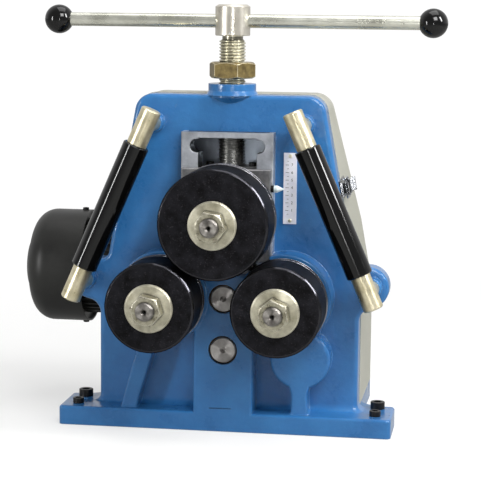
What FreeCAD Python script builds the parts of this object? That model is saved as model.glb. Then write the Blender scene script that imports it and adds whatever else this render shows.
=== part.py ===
"""Ring roller: a motor-driven three-roll bending head.

Millimetres. X is to the right of the operator, Y runs into the machine from
the front of its base flange, Z is up from the underside of the base. The
finished pieces are moved so that Y starts at the axis of the feed screw.
"""
import FreeCAD, Part
import math
import os

V = FreeCAD.Vector
NODES = {}

# Driving dimensions.
FLANGE_X, FLANGE_Y, BASE_T = 185.5, 68.0, 21.0
BASE_X, BASE_Y = 145.8, 208.0
WALL_Y, WEB_Y, REAR_Y, WALL_Z0 = 33.0, 49.0, 58.0, 4.0
SIDE_X, TOP_X, TOP_Z, SHOULDER_Z = 145.8, 102.9, 369.0, 138.0
SIDE_TILT = math.atan2(SIDE_X - TOP_X, TOP_Z - SHOULDER_Z)
CORNER_R, EDGE_R, FOOT_R, WEB_R = 20.0, 5.0, 8.0, 24.0
EAR_X, EAR_Z0, EAR_Z1 = 178.4, 136.8, 183.4
COLUMN_X, COLUMN_Y = 33.0, 0.0
PAD_X, PAD_Y, PAD_Z0, PAD_Z1 = 51.0, 20.0, 172.0, 329.0
CHAN_X, CHAN_Z0, CHAN_Z1 = 32.6, 178.0, 322.5

ROLL_Y0, ROLL_Y1, RIM = -73.0, -10.0, 1.8
TOP_Z_AXIS, TOP_R = 238.6, 59.2
LOW_X, LOW_Z, LOW_R, LOW_BOSS_R = 67.5, 148.3, 48.5, 51.0
SPINDLE_R, STUD_R, BEARING_R = 15.0, 9.9, 27.5
NUT_Y, END_Y = -93.0, -98.0

MODULE, Z_LOW, Z_IDLER, Z_PINION = 3.0, 24, 21, 17
DRIVE_Z = LOW_Z - MODULE * (Z_IDLER + Z_PINION) / 2
GEAR_Y0, GEAR_Y1 = 52.0, 72.0
SHAFT_R, BUSH_R, DISC_Y = 14.0, 16.0, 0.5
PLATE_Y0, PLATE_Y1 = 77.0, 90.0

SCREW_Y, SCREW_R = 51.0, 14.8
BOSS_R, BOSS_Z, BULGE_Z = 26.3, 380.7, 359.0
LOCK_Z, LOCK_H, LOCK_AF = BOSS_Z + 5.9, 17.6, 46.0
BAR_R, BALL_R = 7.5, 16.0
BAR_Z = BOSS_Z + 68.3
HUB_Z0, HUB_Z1, HUB_R = BAR_Z - 16.0, BAR_Z + 18.0, 19.2
BALL_X = (-195.5, 218.9)

GUIDE_Y = -20.0
GUIDE_TOP, GUIDE_END = (75.7, 355.0), (166.5, 146.4)
GUIDE_STUDS = (18.5, 210.8)
SLEEVE = (41.7, 188.3)

MOTOR_Y, MOTOR_Z = 149.0, DRIVE_Z + 66.0
MOTOR_R, COWL_R, COWL_X, RIM_X = 56.0, 66.0, -256.5, -190.0

SHEET, SLOPE_Y, SLOPE_Z, LATCH_Z = 2.5, 105.0, 215.0, 267.0
BOLT_X, HOLD_Y = 167.0, 36.0
FLANGE_BOLTS = ((18.5, 4.0, 6.2, 6.0), (54.5, 5.0, 8.0, 8.0))


# Shape helpers.
def box(x0, x1, y0, y1, z0, z1):
    return Part.makeBox(x1 - x0, y1 - y0, z1 - z0, V(x0, y0, z0))


def cyl_x(y, z, r, x0, x1):
    return Part.makeCylinder(r, x1 - x0, V(x0, y, z), V(1, 0, 0))


def cyl_y(x, z, r, y0, y1):
    return Part.makeCylinder(r, y1 - y0, V(x, y0, z), V(0, 1, 0))


def cyl_z(x, y, r, z0, z1):
    return Part.makeCylinder(r, z1 - z0, V(x, y, z0), V(0, 0, 1))


def cone_y(x, z, r0, r1, y0, y1):
    return Part.makeCone(r0, r1, y1 - y0, V(x, y0, z), V(0, 1, 0))


def ring_y(x, z, ro, ri, y0, y1):
    return cyl_y(x, z, ro, y0, y1).cut(cyl_y(x, z, ri, y0 - 1, y1 + 1))


def fuse(*shapes):
    out = shapes[0]
    for s in shapes[1:]:
        out = out.fuse(s)
    return out.removeSplitter()


def cut(shape, *tools):
    for t in tools:
        shape = shape.cut(t)
    return shape


def prism_y(points, y0, y1):
    ring = [V(x, y0, z) for x, z in points]
    return Part.Face(Part.makePolygon(ring + ring[:1])).extrude(V(0, y1 - y0, 0))


def prism_x(points, x0, x1):
    ring = [V(x0, y, z) for y, z in points]
    return Part.Face(Part.makePolygon(ring + ring[:1])).extrude(V(x1 - x0, 0, 0))


def spun(profile, origin, axis):
    """Turned solid: profile is (distance along the axis, radius) pairs."""
    ring = [V(r, 0, s) for s, r in profile]
    face = Part.Face(Part.makePolygon(ring + ring[:1]))
    solid = face.revolve(V(0, 0, 0), V(0, 0, 1), 360)
    solid.Placement = FreeCAD.Placement(V(*origin), FreeCAD.Rotation(V(0, 0, 1), V(*axis)))
    return solid


def hexagon(af, h, origin, axis, turn=0.0, chamfer=0.12):
    """Hexagon prism with both ends chamfered, standing on origin."""
    r = af / math.sqrt(3)
    ring = [V(r * math.cos(math.radians(turn + 60 * k)),
              r * math.sin(math.radians(turn + 60 * k)), 0) for k in range(6)]
    body = Part.Face(Part.makePolygon(ring + ring[:1])).extrude(V(0, 0, h))
    c = (r - af / 2) * (1 + chamfer)
    ends = spun([(0, 0), (0, r - c), (c * 0.55, r + 0.01), (h - c * 0.55, r + 0.01),
                 (h, r - c), (h, 0)], (0, 0, 0), (0, 0, 1))
    body = body.common(ends)
    body.Placement = FreeCAD.Placement(V(*origin), FreeCAD.Rotation(V(0, 0, 1), V(*axis)))
    return body


def save(name, *shapes):
    solids = []
    for s in shapes:
        solids += s.Solids
    NODES[name] = Part.makeCompound(solids) if len(solids) > 1 else solids[0]


# Frame.
def side_x(z):
    """Half width of the leaning side at height z."""
    return SIDE_X - (z - SHOULDER_Z) * math.tan(SIDE_TILT)


def round_edges(shape, spots, r):
    """Round the edges that run along Y through the given (x, z) spots and their mirrors."""
    found = []
    for e in shape.Edges:
        c = e.BoundBox.Center
        if e.BoundBox.YLength > 1 and any(math.hypot(abs(c.x) - x, c.z - z) < 0.05
                                          for x, z in spots):
            found.append(e)
    return shape.makeFillet(r, found)


def mirrored_prism(half, y0, y1):
    return prism_y(half + [(-x, z) for x, z in reversed(half)], y0, y1)


def hood_prism(y0, y1, z0, inset=0.0):
    """Outline shared by the casting's back and the cover, drawn in by inset."""
    lean = inset / math.cos(SIDE_TILT)
    knee = SHOULDER_Z - (lean - inset) / math.tan(SIDE_TILT)
    top = (side_x(TOP_Z - inset) - lean, TOP_Z - inset)
    body = mirrored_prism([(SIDE_X - inset, z0), (SIDE_X - inset, knee), top], y0, y1)
    return round_edges(body, [top], CORNER_R - inset)


def wall_prism():
    """Front wall: leaning sides and an ear for each guide bar's lower stud."""
    low, high, notch = (SIDE_X, EAR_Z0), (TOP_X, TOP_Z), (side_x(EAR_Z1), EAR_Z1)
    wall = mirrored_prism([(SIDE_X, WALL_Z0), low, (EAR_X, EAR_Z0), (EAR_X, EAR_Z1), notch, high],
                          WALL_Y, REAR_Y)
    wall = round_edges(wall, [(EAR_X, EAR_Z0), (EAR_X, EAR_Z1)], (EAR_Z1 - EAR_Z0) / 2 - 0.1)
    wall = round_edges(wall, [low], 15.9)
    wall = round_edges(wall, [notch], 9.0)
    wall = round_edges(wall, [high], CORNER_R)
    return wall.makeFillet(EDGE_R, [e for e in wall.Edges if e.BoundBox.YMax < WALL_Y + 0.01
                                    and e.BoundBox.ZMax > WALL_Z0 + 1])


def flange():
    """Base flange: upright corners, then the top edge all round."""
    base = box(-FLANGE_X, FLANGE_X, 0, FLANGE_Y, 0, BASE_T)
    base = base.makeFillet(5.0, [e for e in base.Edges if abs(e.BoundBox.ZLength - BASE_T) < 0.01])
    return base.makeFillet(3.0, [e for e in base.Edges if e.BoundBox.ZMin > BASE_T - 0.01])


def boss(x, z, r, y0, edge):
    """Round boss on the wall with a rounded front edge."""
    c = cyl_y(x, z, r, y0, WEB_Y)
    return c.makeFillet(edge, [e for e in c.Edges if e.BoundBox.YMax < y0 + 0.01])


def rib(points, y0, edge):
    """Rib that stands on the flange, with rounded front edges."""
    body = prism_y(points, y0, WALL_Y + 1)
    return body.makeFillet(edge, [e for e in body.Edges if e.BoundBox.YMax < y0 + 0.01
                                  and e.BoundBox.ZMax > BASE_T])


def guide_point(s, side):
    """Point at distance s along the axis of a guide bar."""
    dx, dz = GUIDE_END[0] - GUIDE_TOP[0], GUIDE_END[1] - GUIDE_TOP[1]
    n = math.hypot(dx, dz)
    return side * (GUIDE_TOP[0] + dx * s / n), GUIDE_TOP[1] + dz * s / n


def foot_fillet():
    """Concave root between the flange and the front and ends of the wall."""
    r, x = FOOT_R, SIDE_X - EDGE_R
    front = box(-x, x, WALL_Y - r, WALL_Y + 1, BASE_T - 1, BASE_T + r)
    parts = [front.cut(cyl_x(WALL_Y - r, BASE_T + r, r, -x - 1, x + 1))]
    for side in (-1, 1):
        end = box(*sorted((side * (SIDE_X - 1), side * (SIDE_X + r))), WALL_Y + EDGE_R, REAR_Y,
                  BASE_T - 1, BASE_T + r)
        parts.append(end.cut(cyl_y(side * (SIDE_X + r), BASE_T + r, r, WALL_Y, REAR_Y + 1)))
        ring = [(EDGE_R - 1, 0), (EDGE_R + r, 0), (EDGE_R + r, 1)]
        for k in range(1, 9):
            a = math.radians(90 * k / 8)
            ring.append((EDGE_R + r - r * math.sin(a), 1 + r - r * math.cos(a)))
        ring.append((EDGE_R - 1, 1 + r))
        wire = [V(d, 0, h) for d, h in ring]
        turn = Part.Face(Part.makePolygon(wire + wire[:1]))
        turn = turn.revolve(V(0, 0, 0), V(0, 0, 1), 90)
        turn.rotate(V(0, 0, 0), V(0, 0, 1), 180 if side < 0 else 270)
        turn.translate(V(side * (SIDE_X - EDGE_R), WALL_Y + EDGE_R, BASE_T - 1))
        parts.append(turn)
    return parts


def frame_casting():
    wall = wall_prism().cut(hood_prism(WEB_Y, REAR_Y + 1, BASE_T - 12, 12.0))
    rear = box(-BASE_X, BASE_X, FLANGE_Y - 10, BASE_Y, 0, BASE_T)
    parts = [flange(), rear, wall] + foot_fillet()
    for side in (-1, 1):
        web = box(*sorted((side * BASE_X, side * (BASE_X + WEB_R))), FLANGE_Y - 6,
                  FLANGE_Y + WEB_R, 0, BASE_T)
        parts.append(web.cut(cyl_z(side * (BASE_X + WEB_R), FLANGE_Y + WEB_R, WEB_R, -1,
                                   BASE_T + 1)))
        front = boss(side * LOW_X, LOW_Z, LOW_BOSS_R, COLUMN_Y - 1.5, 1.5)
        parts.append(front.cut(box(-PAD_X, PAD_X, -5, PAD_Y, CHAN_Z0 + 3.5, 260)))
        for s in GUIDE_STUDS:
            x, z = guide_point(s, side)
            parts.append(boss(x, z, 11.5, PAD_Y, 2.0))
    column = box(-COLUMN_X, COLUMN_X, COLUMN_Y, WEB_Y, BASE_T / 2, PAD_Z0 + 2)
    parts.append(column.makeFillet(3.0, [e for e in column.Edges
                                         if e.BoundBox.YMax < COLUMN_Y + 0.01
                                         and e.BoundBox.ZLength > 50]))
    parts.append(box(-PAD_X, PAD_X, PAD_Y, WEB_Y, PAD_Z0, PAD_Z1))
    parts.append(boss(84.5, 82.0, 33, 7, 4.0))
    parts.append(rib([(69, 15), (99, 15), (93.5, 24), (92.5, 42), (97, 58), (71, 58), (75.5, 42),
                      (75, 24)], 7, 2.5))
    parts.append(rib([(-98.5, 15), (-95.7, 32), (-81, 80), (-72, 116), (-88, 120),
                      (-102.6, 72), (-115, 26), (-118.5, 15)], 9, 2.5))
    parts.append(cyl_z(0, SCREW_Y, BOSS_R, BULGE_Z + 7, BOSS_Z))
    parts.append(Part.makeCone(BOSS_R - 9, BOSS_R, 7, V(0, SCREW_Y, BULGE_Z), V(0, 0, 1)))
    parts.append(cyl_z(0, SCREW_Y, BOSS_R, CHAN_Z1 + 1.5, BULGE_Z + 8)
                 .common(box(-50, 50, WALL_Y + 1, WALL_Y + 60, CHAN_Z1, BOSS_Z)))
    parts.append(Part.makeCone(29.0, BOSS_R, 5, V(0, SCREW_Y, TOP_Z - 1), V(0, 0, 1)))
    body = fuse(*parts)
    holes = [box(-CHAN_X, CHAN_X, -5, REAR_Y, CHAN_Z0, CHAN_Z1),
             cyl_z(0, SCREW_Y, SCREW_R + 0.08, CHAN_Z1 - 20, BOSS_Z + 20),
             cyl_y(0, LOW_Z, BUSH_R, -5, REAR_Y + 2), cyl_y(0, DRIVE_Z, BUSH_R, -5, REAR_Y + 2),
             box(-15, 10, COLUMN_Y - 1, COLUMN_Y + 2.5, 25.4, 26.4)]
    for side in (-1, 1):
        holes.append(cyl_y(side * 34.3, 313.7, 7.5, 0, REAR_Y))
        holes.append(cyl_y(side * 30.0, CHAN_Z0 + 3, 5.5, 0, REAR_Y))
        holes.append(cyl_y(side * LOW_X, LOW_Z, BEARING_R, -5, 17))
        holes.append(cyl_y(side * LOW_X, LOW_Z, SPINDLE_R + 3, 16, REAR_Y + 2))
        for s in GUIDE_STUDS:
            x, z = guide_point(s, side)
            holes.append(cyl_y(x, z, 8, 0, REAR_Y + 2))
        for y, r, _, _ in FLANGE_BOLTS:
            holes.append(cyl_z(side * BOLT_X, y, r, -1, BASE_T + 9))
        holes.append(cyl_z(side * BOLT_X, HOLD_Y, 5.5, -1, BASE_T + 9))
        holes.append(cyl_z(side * 125, 188, 5.5, -1, BASE_T + 9))
    return cut(body, *holes).removeSplitter()


# Gears.
def gear(teeth, phase, x, z, y0, y1):
    """Spur gear with involute flanks, a tooth centred on the angle phase."""
    rp = MODULE * teeth / 2
    rb, ra, rf = rp * math.cos(math.radians(20)), rp + MODULE - 0.1, rp - 1.25 * MODULE
    inv = lambda r: math.tan(math.acos(rb / r)) - math.acos(rb / r) if r > rb else 0.0
    half = math.pi / (2 * teeth) - 0.09 / rp
    flank = []
    for k in range(5):
        r = max(rb, rf + 0.4) + (ra - max(rb, rf + 0.4)) * k / 4
        flank.append((r, half + inv(rp) - inv(r)))
    flank.insert(0, (rf, flank[0][1] + 0.02))
    pts = []
    for i in range(teeth):
        c = math.radians(phase) + 2 * math.pi * i / teeth
        pts += [(r, c - a) for r, a in flank] + [(r, c + a) for r, a in reversed(flank)]
    ring = [(x + r * math.cos(a), z + r * math.sin(a)) for r, a in pts]
    return prism_y(ring, y0, y1)


def idler_gear():
    rp = MODULE * Z_IDLER / 2
    g = gear(Z_IDLER, 0.0, 0, LOW_Z, GEAR_Y0, GEAR_Y1)
    shaft = spun([(0, 0), (0, SHAFT_R - 1), (1, SHAFT_R), (PLATE_Y1 - 3.5, SHAFT_R),
                  (PLATE_Y1 - 2.5, SHAFT_R - 1), (PLATE_Y1 - 2.5, 0)], (0, DISC_Y, LOW_Z), (0, 1, 0))
    hub = cyl_y(0, LOW_Z, rp - 11, WEB_Y + 1.5, PLATE_Y0 - 1.5)
    return centre_drilled(fuse(g, shaft, hub), 0, DISC_Y, LOW_Z)


def centre_drilled(shape, x, y, z):
    """Centre hole in a shaft end that faces the front."""
    return shape.cut(cone_y(x, z, 3.4, 1.4, y - 0.01, y + 3.2)).cut(cyl_y(x, z, 1.4, y, y + 6))


# Spindles and rollers.
def spindle(x, z, tail, seat_y):
    """Stepped spindle: threaded nose, roller seat, shoulder and journal."""
    p = [(END_Y, 0), (END_Y, STUD_R - 1.6), (END_Y + 1.6, STUD_R), (ROLL_Y0 + 1, STUD_R),
         (ROLL_Y0 + 1, SPINDLE_R - 1), (ROLL_Y0 + 2, SPINDLE_R), (ROLL_Y1, SPINDLE_R),
         (ROLL_Y1, 22), (seat_y, 22), (seat_y, SPINDLE_R), (tail - 1, SPINDLE_R),
         (tail, SPINDLE_R - 1), (tail, 0)]
    body = spun([(s - END_Y, r) for s, r in p], (x, END_Y, z), (0, 1, 0))
    body = body.cut(box(x - 4, x + 4, -60, -24, z + 11, z + 20))
    return centre_drilled(body, x, END_Y, z)


def roller(x, z, r):
    """Hardened roller with a keyway and both rims chamfered."""
    c, w = RIM, ROLL_Y1 - ROLL_Y0
    d = spun([(0, SPINDLE_R + 0.02), (0, r - c), (c, r), (w - c, r), (w, r - c),
              (w, SPINDLE_R + 0.02)], (x, ROLL_Y0, z), (0, 1, 0))
    return d.cut(box(x - 4, x + 4, ROLL_Y0 - 1, ROLL_Y1 + 1, z + 5, z + 18.4))


def spindle_set(prefix, x, z, r, turn):
    save(prefix + "_roller", roller(x, z, r))
    save(prefix + "_washer", spun([(0, 10.3), (0, 24.6), (1.4, 26), (4, 26), (4, 10.3)],
                                  (x, ROLL_Y0 - 4, z), (0, 1, 0)))
    nut = hexagon(30, 16, (x, NUT_Y, z), (0, 1, 0), turn)
    save(prefix + "_nut", nut.cut(cyl_y(x, z, STUD_R + 0.02, NUT_Y - 1, 0)))


def key_y(x, z, y0, y1, h=7.2):
    return box(x - 4, x + 4, y0, y1, z + 11, z + 11 + h)


def bearing(x, z, y0, y1, ri=SPINDLE_R + 0.05, ro=BEARING_R):
    """Sealed ball bearing as one ring with recessed shields."""
    rm, rn = ri + (ro - ri) * 0.26, ri + (ro - ri) * 0.74
    w = y1 - y0
    return spun([(0, ri), (0, rm), (0.8, rm), (0.8, rn), (0, rn), (0, ro), (w, ro), (w, rn),
                 (w - 0.8, rn), (w - 0.8, rm), (w, rm), (w, ri)], (x, y0, z), (0, 1, 0))


# Slide.
SLIDE_X, SLIDE_Y, SLIDE_Z0, SLIDE_Z1 = 49.3, 10.0, 188.0, 290.0
NECK_X, BODY_Y1, NECK_Z0, NECK_Z1 = 32.5, 75.0, 191.0, 284.0
HEAD_Z0, HEAD_Z1 = 274.0, 283.8
POINTER_Z = 269.0


def slide_block():
    face = box(-SLIDE_X, SLIDE_X, SLIDE_Y, PAD_Y - 0.1, SLIDE_Z0, SLIDE_Z1)
    face = face.makeChamfer(1.0, [e for e in face.Edges if e.BoundBox.YMax < SLIDE_Y + 0.01])
    body = fuse(face, box(-NECK_X, NECK_X, PAD_Y - 1, BODY_Y1, NECK_Z0, NECK_Z1))
    z = TOP_Z_AXIS
    return cut(body, cyl_y(0, z, SPINDLE_R + 2, 0, 90), cyl_y(0, z, BEARING_R, 0, 25),
               cyl_y(0, z, BEARING_R, BODY_Y1 - 13, 90),
               cyl_z(0, SCREW_Y, 15.2, HEAD_Z0 - 0.1, 300),
               cyl_x(SLIDE_Y + 5, POINTER_Z, 2.5, SLIDE_X - 9, SLIDE_X + 1),
               *[cyl_x(54.5, zz, 2.5, a, b) for zz in (204, 239, 274)
                 for a, b in ((NECK_X - 8, NECK_X + 1), (-NECK_X - 1, 8 - NECK_X))],
               *[cyl_z(x, SCREW_Y, 2.5, NECK_Z1 - 10, NECK_Z1 + 1) for x in (-24, 24)])


def socket_screw(origin, axis, r=2.5, length=16.0, head_r=4.25, head_h=5.0):
    """Socket head screw: origin under the head, axis along the shank."""
    p = [(-head_h, 0), (-head_h, head_r - 0.4), (-head_h + 0.4, head_r), (0, head_r), (0, r),
         (length, r), (length, 0)]
    s = spun([(a + head_h, b) for a, b in p],
             tuple(o - head_h * a for o, a in zip(origin, axis)), axis)
    af = head_r * 1.1
    sock = hexagon(af, head_h * 0.6, (0, 0, 0), (0, 0, 1), 0, -0.9)
    sock.Placement = FreeCAD.Placement(V(*[o - (head_h + 0.01) * a for o, a in zip(origin, axis)]),
                                       FreeCAD.Rotation(V(0, 0, 1), V(*axis)))
    return s.cut(sock)


def slide_parts():
    save("slide_block", slide_block())
    keepers, screws = [], []
    for side in (-1, 1):
        x0, x1 = sorted((side * NECK_X, side * 48.0))
        k = box(x0, x1, WEB_Y + 0.1, 60, 194, 284)
        k = k.cut(box(min(side * 41, side * 50), max(side * 41, side * 50), 48, 61, 193, 285)) \
            .fuse(box(*sorted((side * 41, side * 48.0)), WEB_Y + 0.1, 60, 197, 281))
        for zz in (204, 239, 274):
            k = k.cut(cyl_x(54.5, zz, 2.6, *sorted((side * 30, side * 50))))
            screws.append(socket_screw((side * 48.0, 54.5, zz), (-side, 0, 0), 2.45, 22))
        keepers.append(k)
    save("slide_keepers", *keepers)
    half = []
    for side in (-1, 1):
        x0, x1 = sorted((side * 0.4, side * 31))
        p = box(x0, x1, SCREW_Y - 17, SCREW_Y + 17, NECK_Z1, NECK_Z1 + 6)
        half.append(cut(p, cyl_z(0, SCREW_Y, 10.1, 280, 295), cyl_z(side * 24, SCREW_Y, 2.6, 280, 295)))
        screws.append(socket_screw((side * 24, SCREW_Y, NECK_Z1 + 6), (0, 0, -1), 2.45, 14, 4.25, 4.0))
    save("screw_retainer", *half)
    save("slide_screws", *screws)
    save("slide_bearings", bearing(0, TOP_Z_AXIS, 12, 25), bearing(0, TOP_Z_AXIS, BODY_Y1 - 13, BODY_Y1))
    y, z, x = SLIDE_Y + 5, POINTER_Z, SLIDE_X
    save("pointer_screw", spun([(0, 0), (0, 2.45), (8, 2.45), (8, 3.9), (11.5, 3.9), (11.5, 0)],
                               (x - 8, y, z), (1, 0, 0)))
    save("pointer", spun([(0, 0), (0, 4.0), (3.2, 4.0), (10.5, 0.7), (11, 0)],
                         (x + 3.5, y, z), (1, 0, 0)))


# Feed screw and T-handle.
def feed_parts():
    p = [(HEAD_Z0, 0), (HEAD_Z0, 14.0), (HEAD_Z0 + 1, 15.0), (HEAD_Z1 - 0.1, 15.0),
         (HEAD_Z1 - 0.1, 10.0), (292, 10.0), (292, SCREW_R - 2), (294, SCREW_R),
         (HUB_Z0 - 6, SCREW_R), (HUB_Z0 - 4, 11.4), (HUB_Z0, 11.4), (HUB_Z0, 9.0),
         (HUB_Z0 + 5, 9.0), (HUB_Z0 + 5, 0)]
    screw = spun([(a - HEAD_Z0, r) for a, r in p], (0, SCREW_Y, HEAD_Z0), (0, 0, 1))
    pin_z = HUB_Z0 + 3
    save("feed_screw", screw.cut(cyl_y(0, pin_z, 1.5, SCREW_Y - 30, SCREW_Y + 30)))
    h = HUB_Z1 - HUB_Z0
    hub = spun([(0, 9.0), (0, HUB_R - 0.8), (0.8, HUB_R), (h - 2.2, HUB_R), (h, HUB_R - 3.5),
                (h, 0), (5, 0), (5, 9.0)], (0, SCREW_Y, HUB_Z0), (0, 0, 1))
    save("handle_hub", cut(hub, cyl_x(SCREW_Y, BAR_Z, BAR_R + 0.08, -30, 30),
                           cyl_y(0, pin_z, 1.5, SCREW_Y - 30, SCREW_Y + 30)))
    save("hub_pin", cyl_y(0, pin_z, 1.5, SCREW_Y - HUB_R + 0.6, SCREW_Y + HUB_R - 0.6))
    a, b = BALL_X[0] - 4, BALL_X[1] + 4
    save("tee_bar", spun([(0, 0), (0, BAR_R - 1), (1, BAR_R), (b - a - 1, BAR_R), (b - a, BAR_R - 1),
                          (b - a, 0)], (a, SCREW_Y, BAR_Z), (1, 0, 0)))
    balls = []
    for x, s in zip(BALL_X, (1, -1)):
        ball = Part.makeSphere(BALL_R, V(x, SCREW_Y, BAR_Z))
        x0, x1 = sorted((x - 4.2 * s, x + 30 * s))
        ball = ball.cut(cyl_x(SCREW_Y, BAR_Z, BAR_R, x0, x1))
        x0, x1 = sorted((x + (BALL_R - 1.6) * s, x + 30 * s))
        balls.append(ball.cut(box(x0, x1, SCREW_Y - 20, SCREW_Y + 20, BAR_Z - 20, BAR_Z + 20)))
    save("ball_knobs", *balls)
    nut = hexagon(LOCK_AF, LOCK_H, (0, SCREW_Y, LOCK_Z), (0, 0, 1), -8.6)
    save("lock_nut", nut.cut(cyl_z(0, SCREW_Y, SCREW_R + 0.08, LOCK_Z - 5, LOCK_Z + LOCK_H + 5)))


# Guide bars.
def guide_parts():
    n = math.hypot(GUIDE_END[0] - GUIDE_TOP[0], GUIDE_END[1] - GUIDE_TOP[1])
    bars, studs = [], []
    for side, word in ((-1, "left"), (1, "right")):
        x, z = guide_point(0, side)
        ex, ez = guide_point(n, side)
        axis = ((ex - x) / n, 0, (ez - z) / n)
        s0, s1 = SLEEVE
        bar = spun([(0, 0), (0, 9.8), (1.2, 11), (s0 - 0.3, 11), (s0 - 0.3, 7.5), (s1 + 0.3, 7.5),
                    (s1 + 0.3, 11), (n - 1.2, 11), (n, 9.8), (n, 0)], (x, GUIDE_Y, z), axis)
        for s in GUIDE_STUDS:
            px, pz = guide_point(s, side)
            bar = bar.cut(cyl_y(px, pz, 5, GUIDE_Y - 4, GUIDE_Y + 20))
            studs.append(fuse(cyl_y(px, pz, 5, GUIDE_Y - 4, WALL_Y),
                              cyl_y(px, pz, 9, GUIDE_Y + 11.2, PAD_Y),
                              cyl_y(px, pz, 8, PAD_Y - 1, WEB_Y - 1)))
        bars.append(bar)
        px, pz = guide_point(s0, side)
        length = s1 - s0
        save("guide_sleeve_" + word,
             spun([(0, 7.58), (0, 13.3), (1, 14.3), (length - 1, 14.3), (length, 13.3),
                   (length, 7.58)], (px, GUIDE_Y, pz), axis))
    save("guide_bars", *bars)
    save("guide_studs", *studs)


# Gear train and carrier.
PILLARS = ((-95, 105), (95, 105), (-95, 192), (95, 192))


def train_parts():
    for side, word, phase in ((-1, "left", 0.0), (1, "right", 7.5)):
        x = side * LOW_X
        g = gear(Z_LOW, phase, x, LOW_Z, GEAR_Y0, GEAR_Y1)
        g = cut(g, cyl_y(x, LOW_Z, SPINDLE_R, 50, 84),
                box(x - 4, x + 4, 50, 84, LOW_Z + 5, LOW_Z + 18.4))
        g = g.cut(ring_y(x, LOW_Z, 28, 21, GEAR_Y0 - 1, GEAR_Y0 + 5))
        g = g.cut(ring_y(x, LOW_Z, 28, 21, GEAR_Y1 - 5, GEAR_Y1 + 1))
        save("low_%s_gear" % word, g)
        s = spindle(x, LOW_Z, PLATE_Y1 - 0.5, COLUMN_Y + 1.0)
        s = s.cut(box(x - 4, x + 4, GEAR_Y0 + 2, GEAR_Y1 - 2, LOW_Z + 11, LOW_Z + 20))
        save("low_%s_spindle" % word, s)
        save("low_%s_keys" % word, key_y(x, LOW_Z, -60, -24),
             key_y(x, LOW_Z, GEAR_Y0 + 2, GEAR_Y1 - 2))
        spindle_set("low_" + word, x, LOW_Z, LOW_R, 12.0 if side < 0 else 22.0)
    save("idler_gear", idler_gear())
    rp = MODULE * Z_PINION / 2
    pinion = gear(Z_PINION, 95.294, 0, DRIVE_Z, GEAR_Y0, GEAR_Y1)
    shaft = spun([(DISC_Y, 0), (DISC_Y, SHAFT_R - 1), (DISC_Y + 1, SHAFT_R), (PLATE_Y1 + 3, SHAFT_R),
                  (PLATE_Y1 + 3, 12.5), (MOTOR_Y + 36, 12.5), (MOTOR_Y + 37, 11.5),
                  (MOTOR_Y + 37, 0)], (0, 0, DRIVE_Z), (0, 1, 0))
    hub = cyl_y(0, DRIVE_Z, rp - 5, WEB_Y + 1.5, PLATE_Y0 - 1.5)
    save("drive_pinion", centre_drilled(fuse(pinion, shaft, hub), 0, DISC_Y, DRIVE_Z))
    save("shaft_bushes", *[ring_y(0, z, BUSH_R, SHAFT_R + 0.06, COLUMN_Y + 5, WEB_Y)
                           for z in (LOW_Z, DRIVE_Z)],
         *[ring_y(0, z, 18, SHAFT_R + 0.06, PLATE_Y0, PLATE_Y1) for z in (LOW_Z, DRIVE_Z)])
    save("spindle_bearings", *[bearing(s * LOW_X, LOW_Z, a, b) for s in (-1, 1)
                               for a, b in ((4, 17), (PLATE_Y0, PLATE_Y1))])
    plate = box(-112, 112, PLATE_Y0, PLATE_Y1, 60, 206)
    plate = plate.makeFillet(12, [e for e in plate.Edges if e.BoundBox.YLength > 10])
    for s in (-1, 1):
        plate = plate.cut(cyl_y(s * LOW_X, LOW_Z, BEARING_R, PLATE_Y0 - 1, PLATE_Y1 + 1))
    for z in (LOW_Z, DRIVE_Z):
        plate = plate.cut(cyl_y(0, z, 18, PLATE_Y0 - 1, PLATE_Y1 + 1))
    for x, z in PILLARS:
        plate = plate.cut(cyl_y(x, z, 4.1, PLATE_Y0 - 1, PLATE_Y1 + 1))
    save("carrier_plate", plate)
    save("carrier_spacers", *[ring_y(x, z, 8.5, 4.1, WEB_Y, PLATE_Y0) for x, z in PILLARS])
    save("carrier_screws", *[socket_screw((x, PLATE_Y1, z), (0, -1, 0), 4.0, PLATE_Y1 - WEB_Y,
                                          6.5, 8.0) for x, z in PILLARS])


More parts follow.
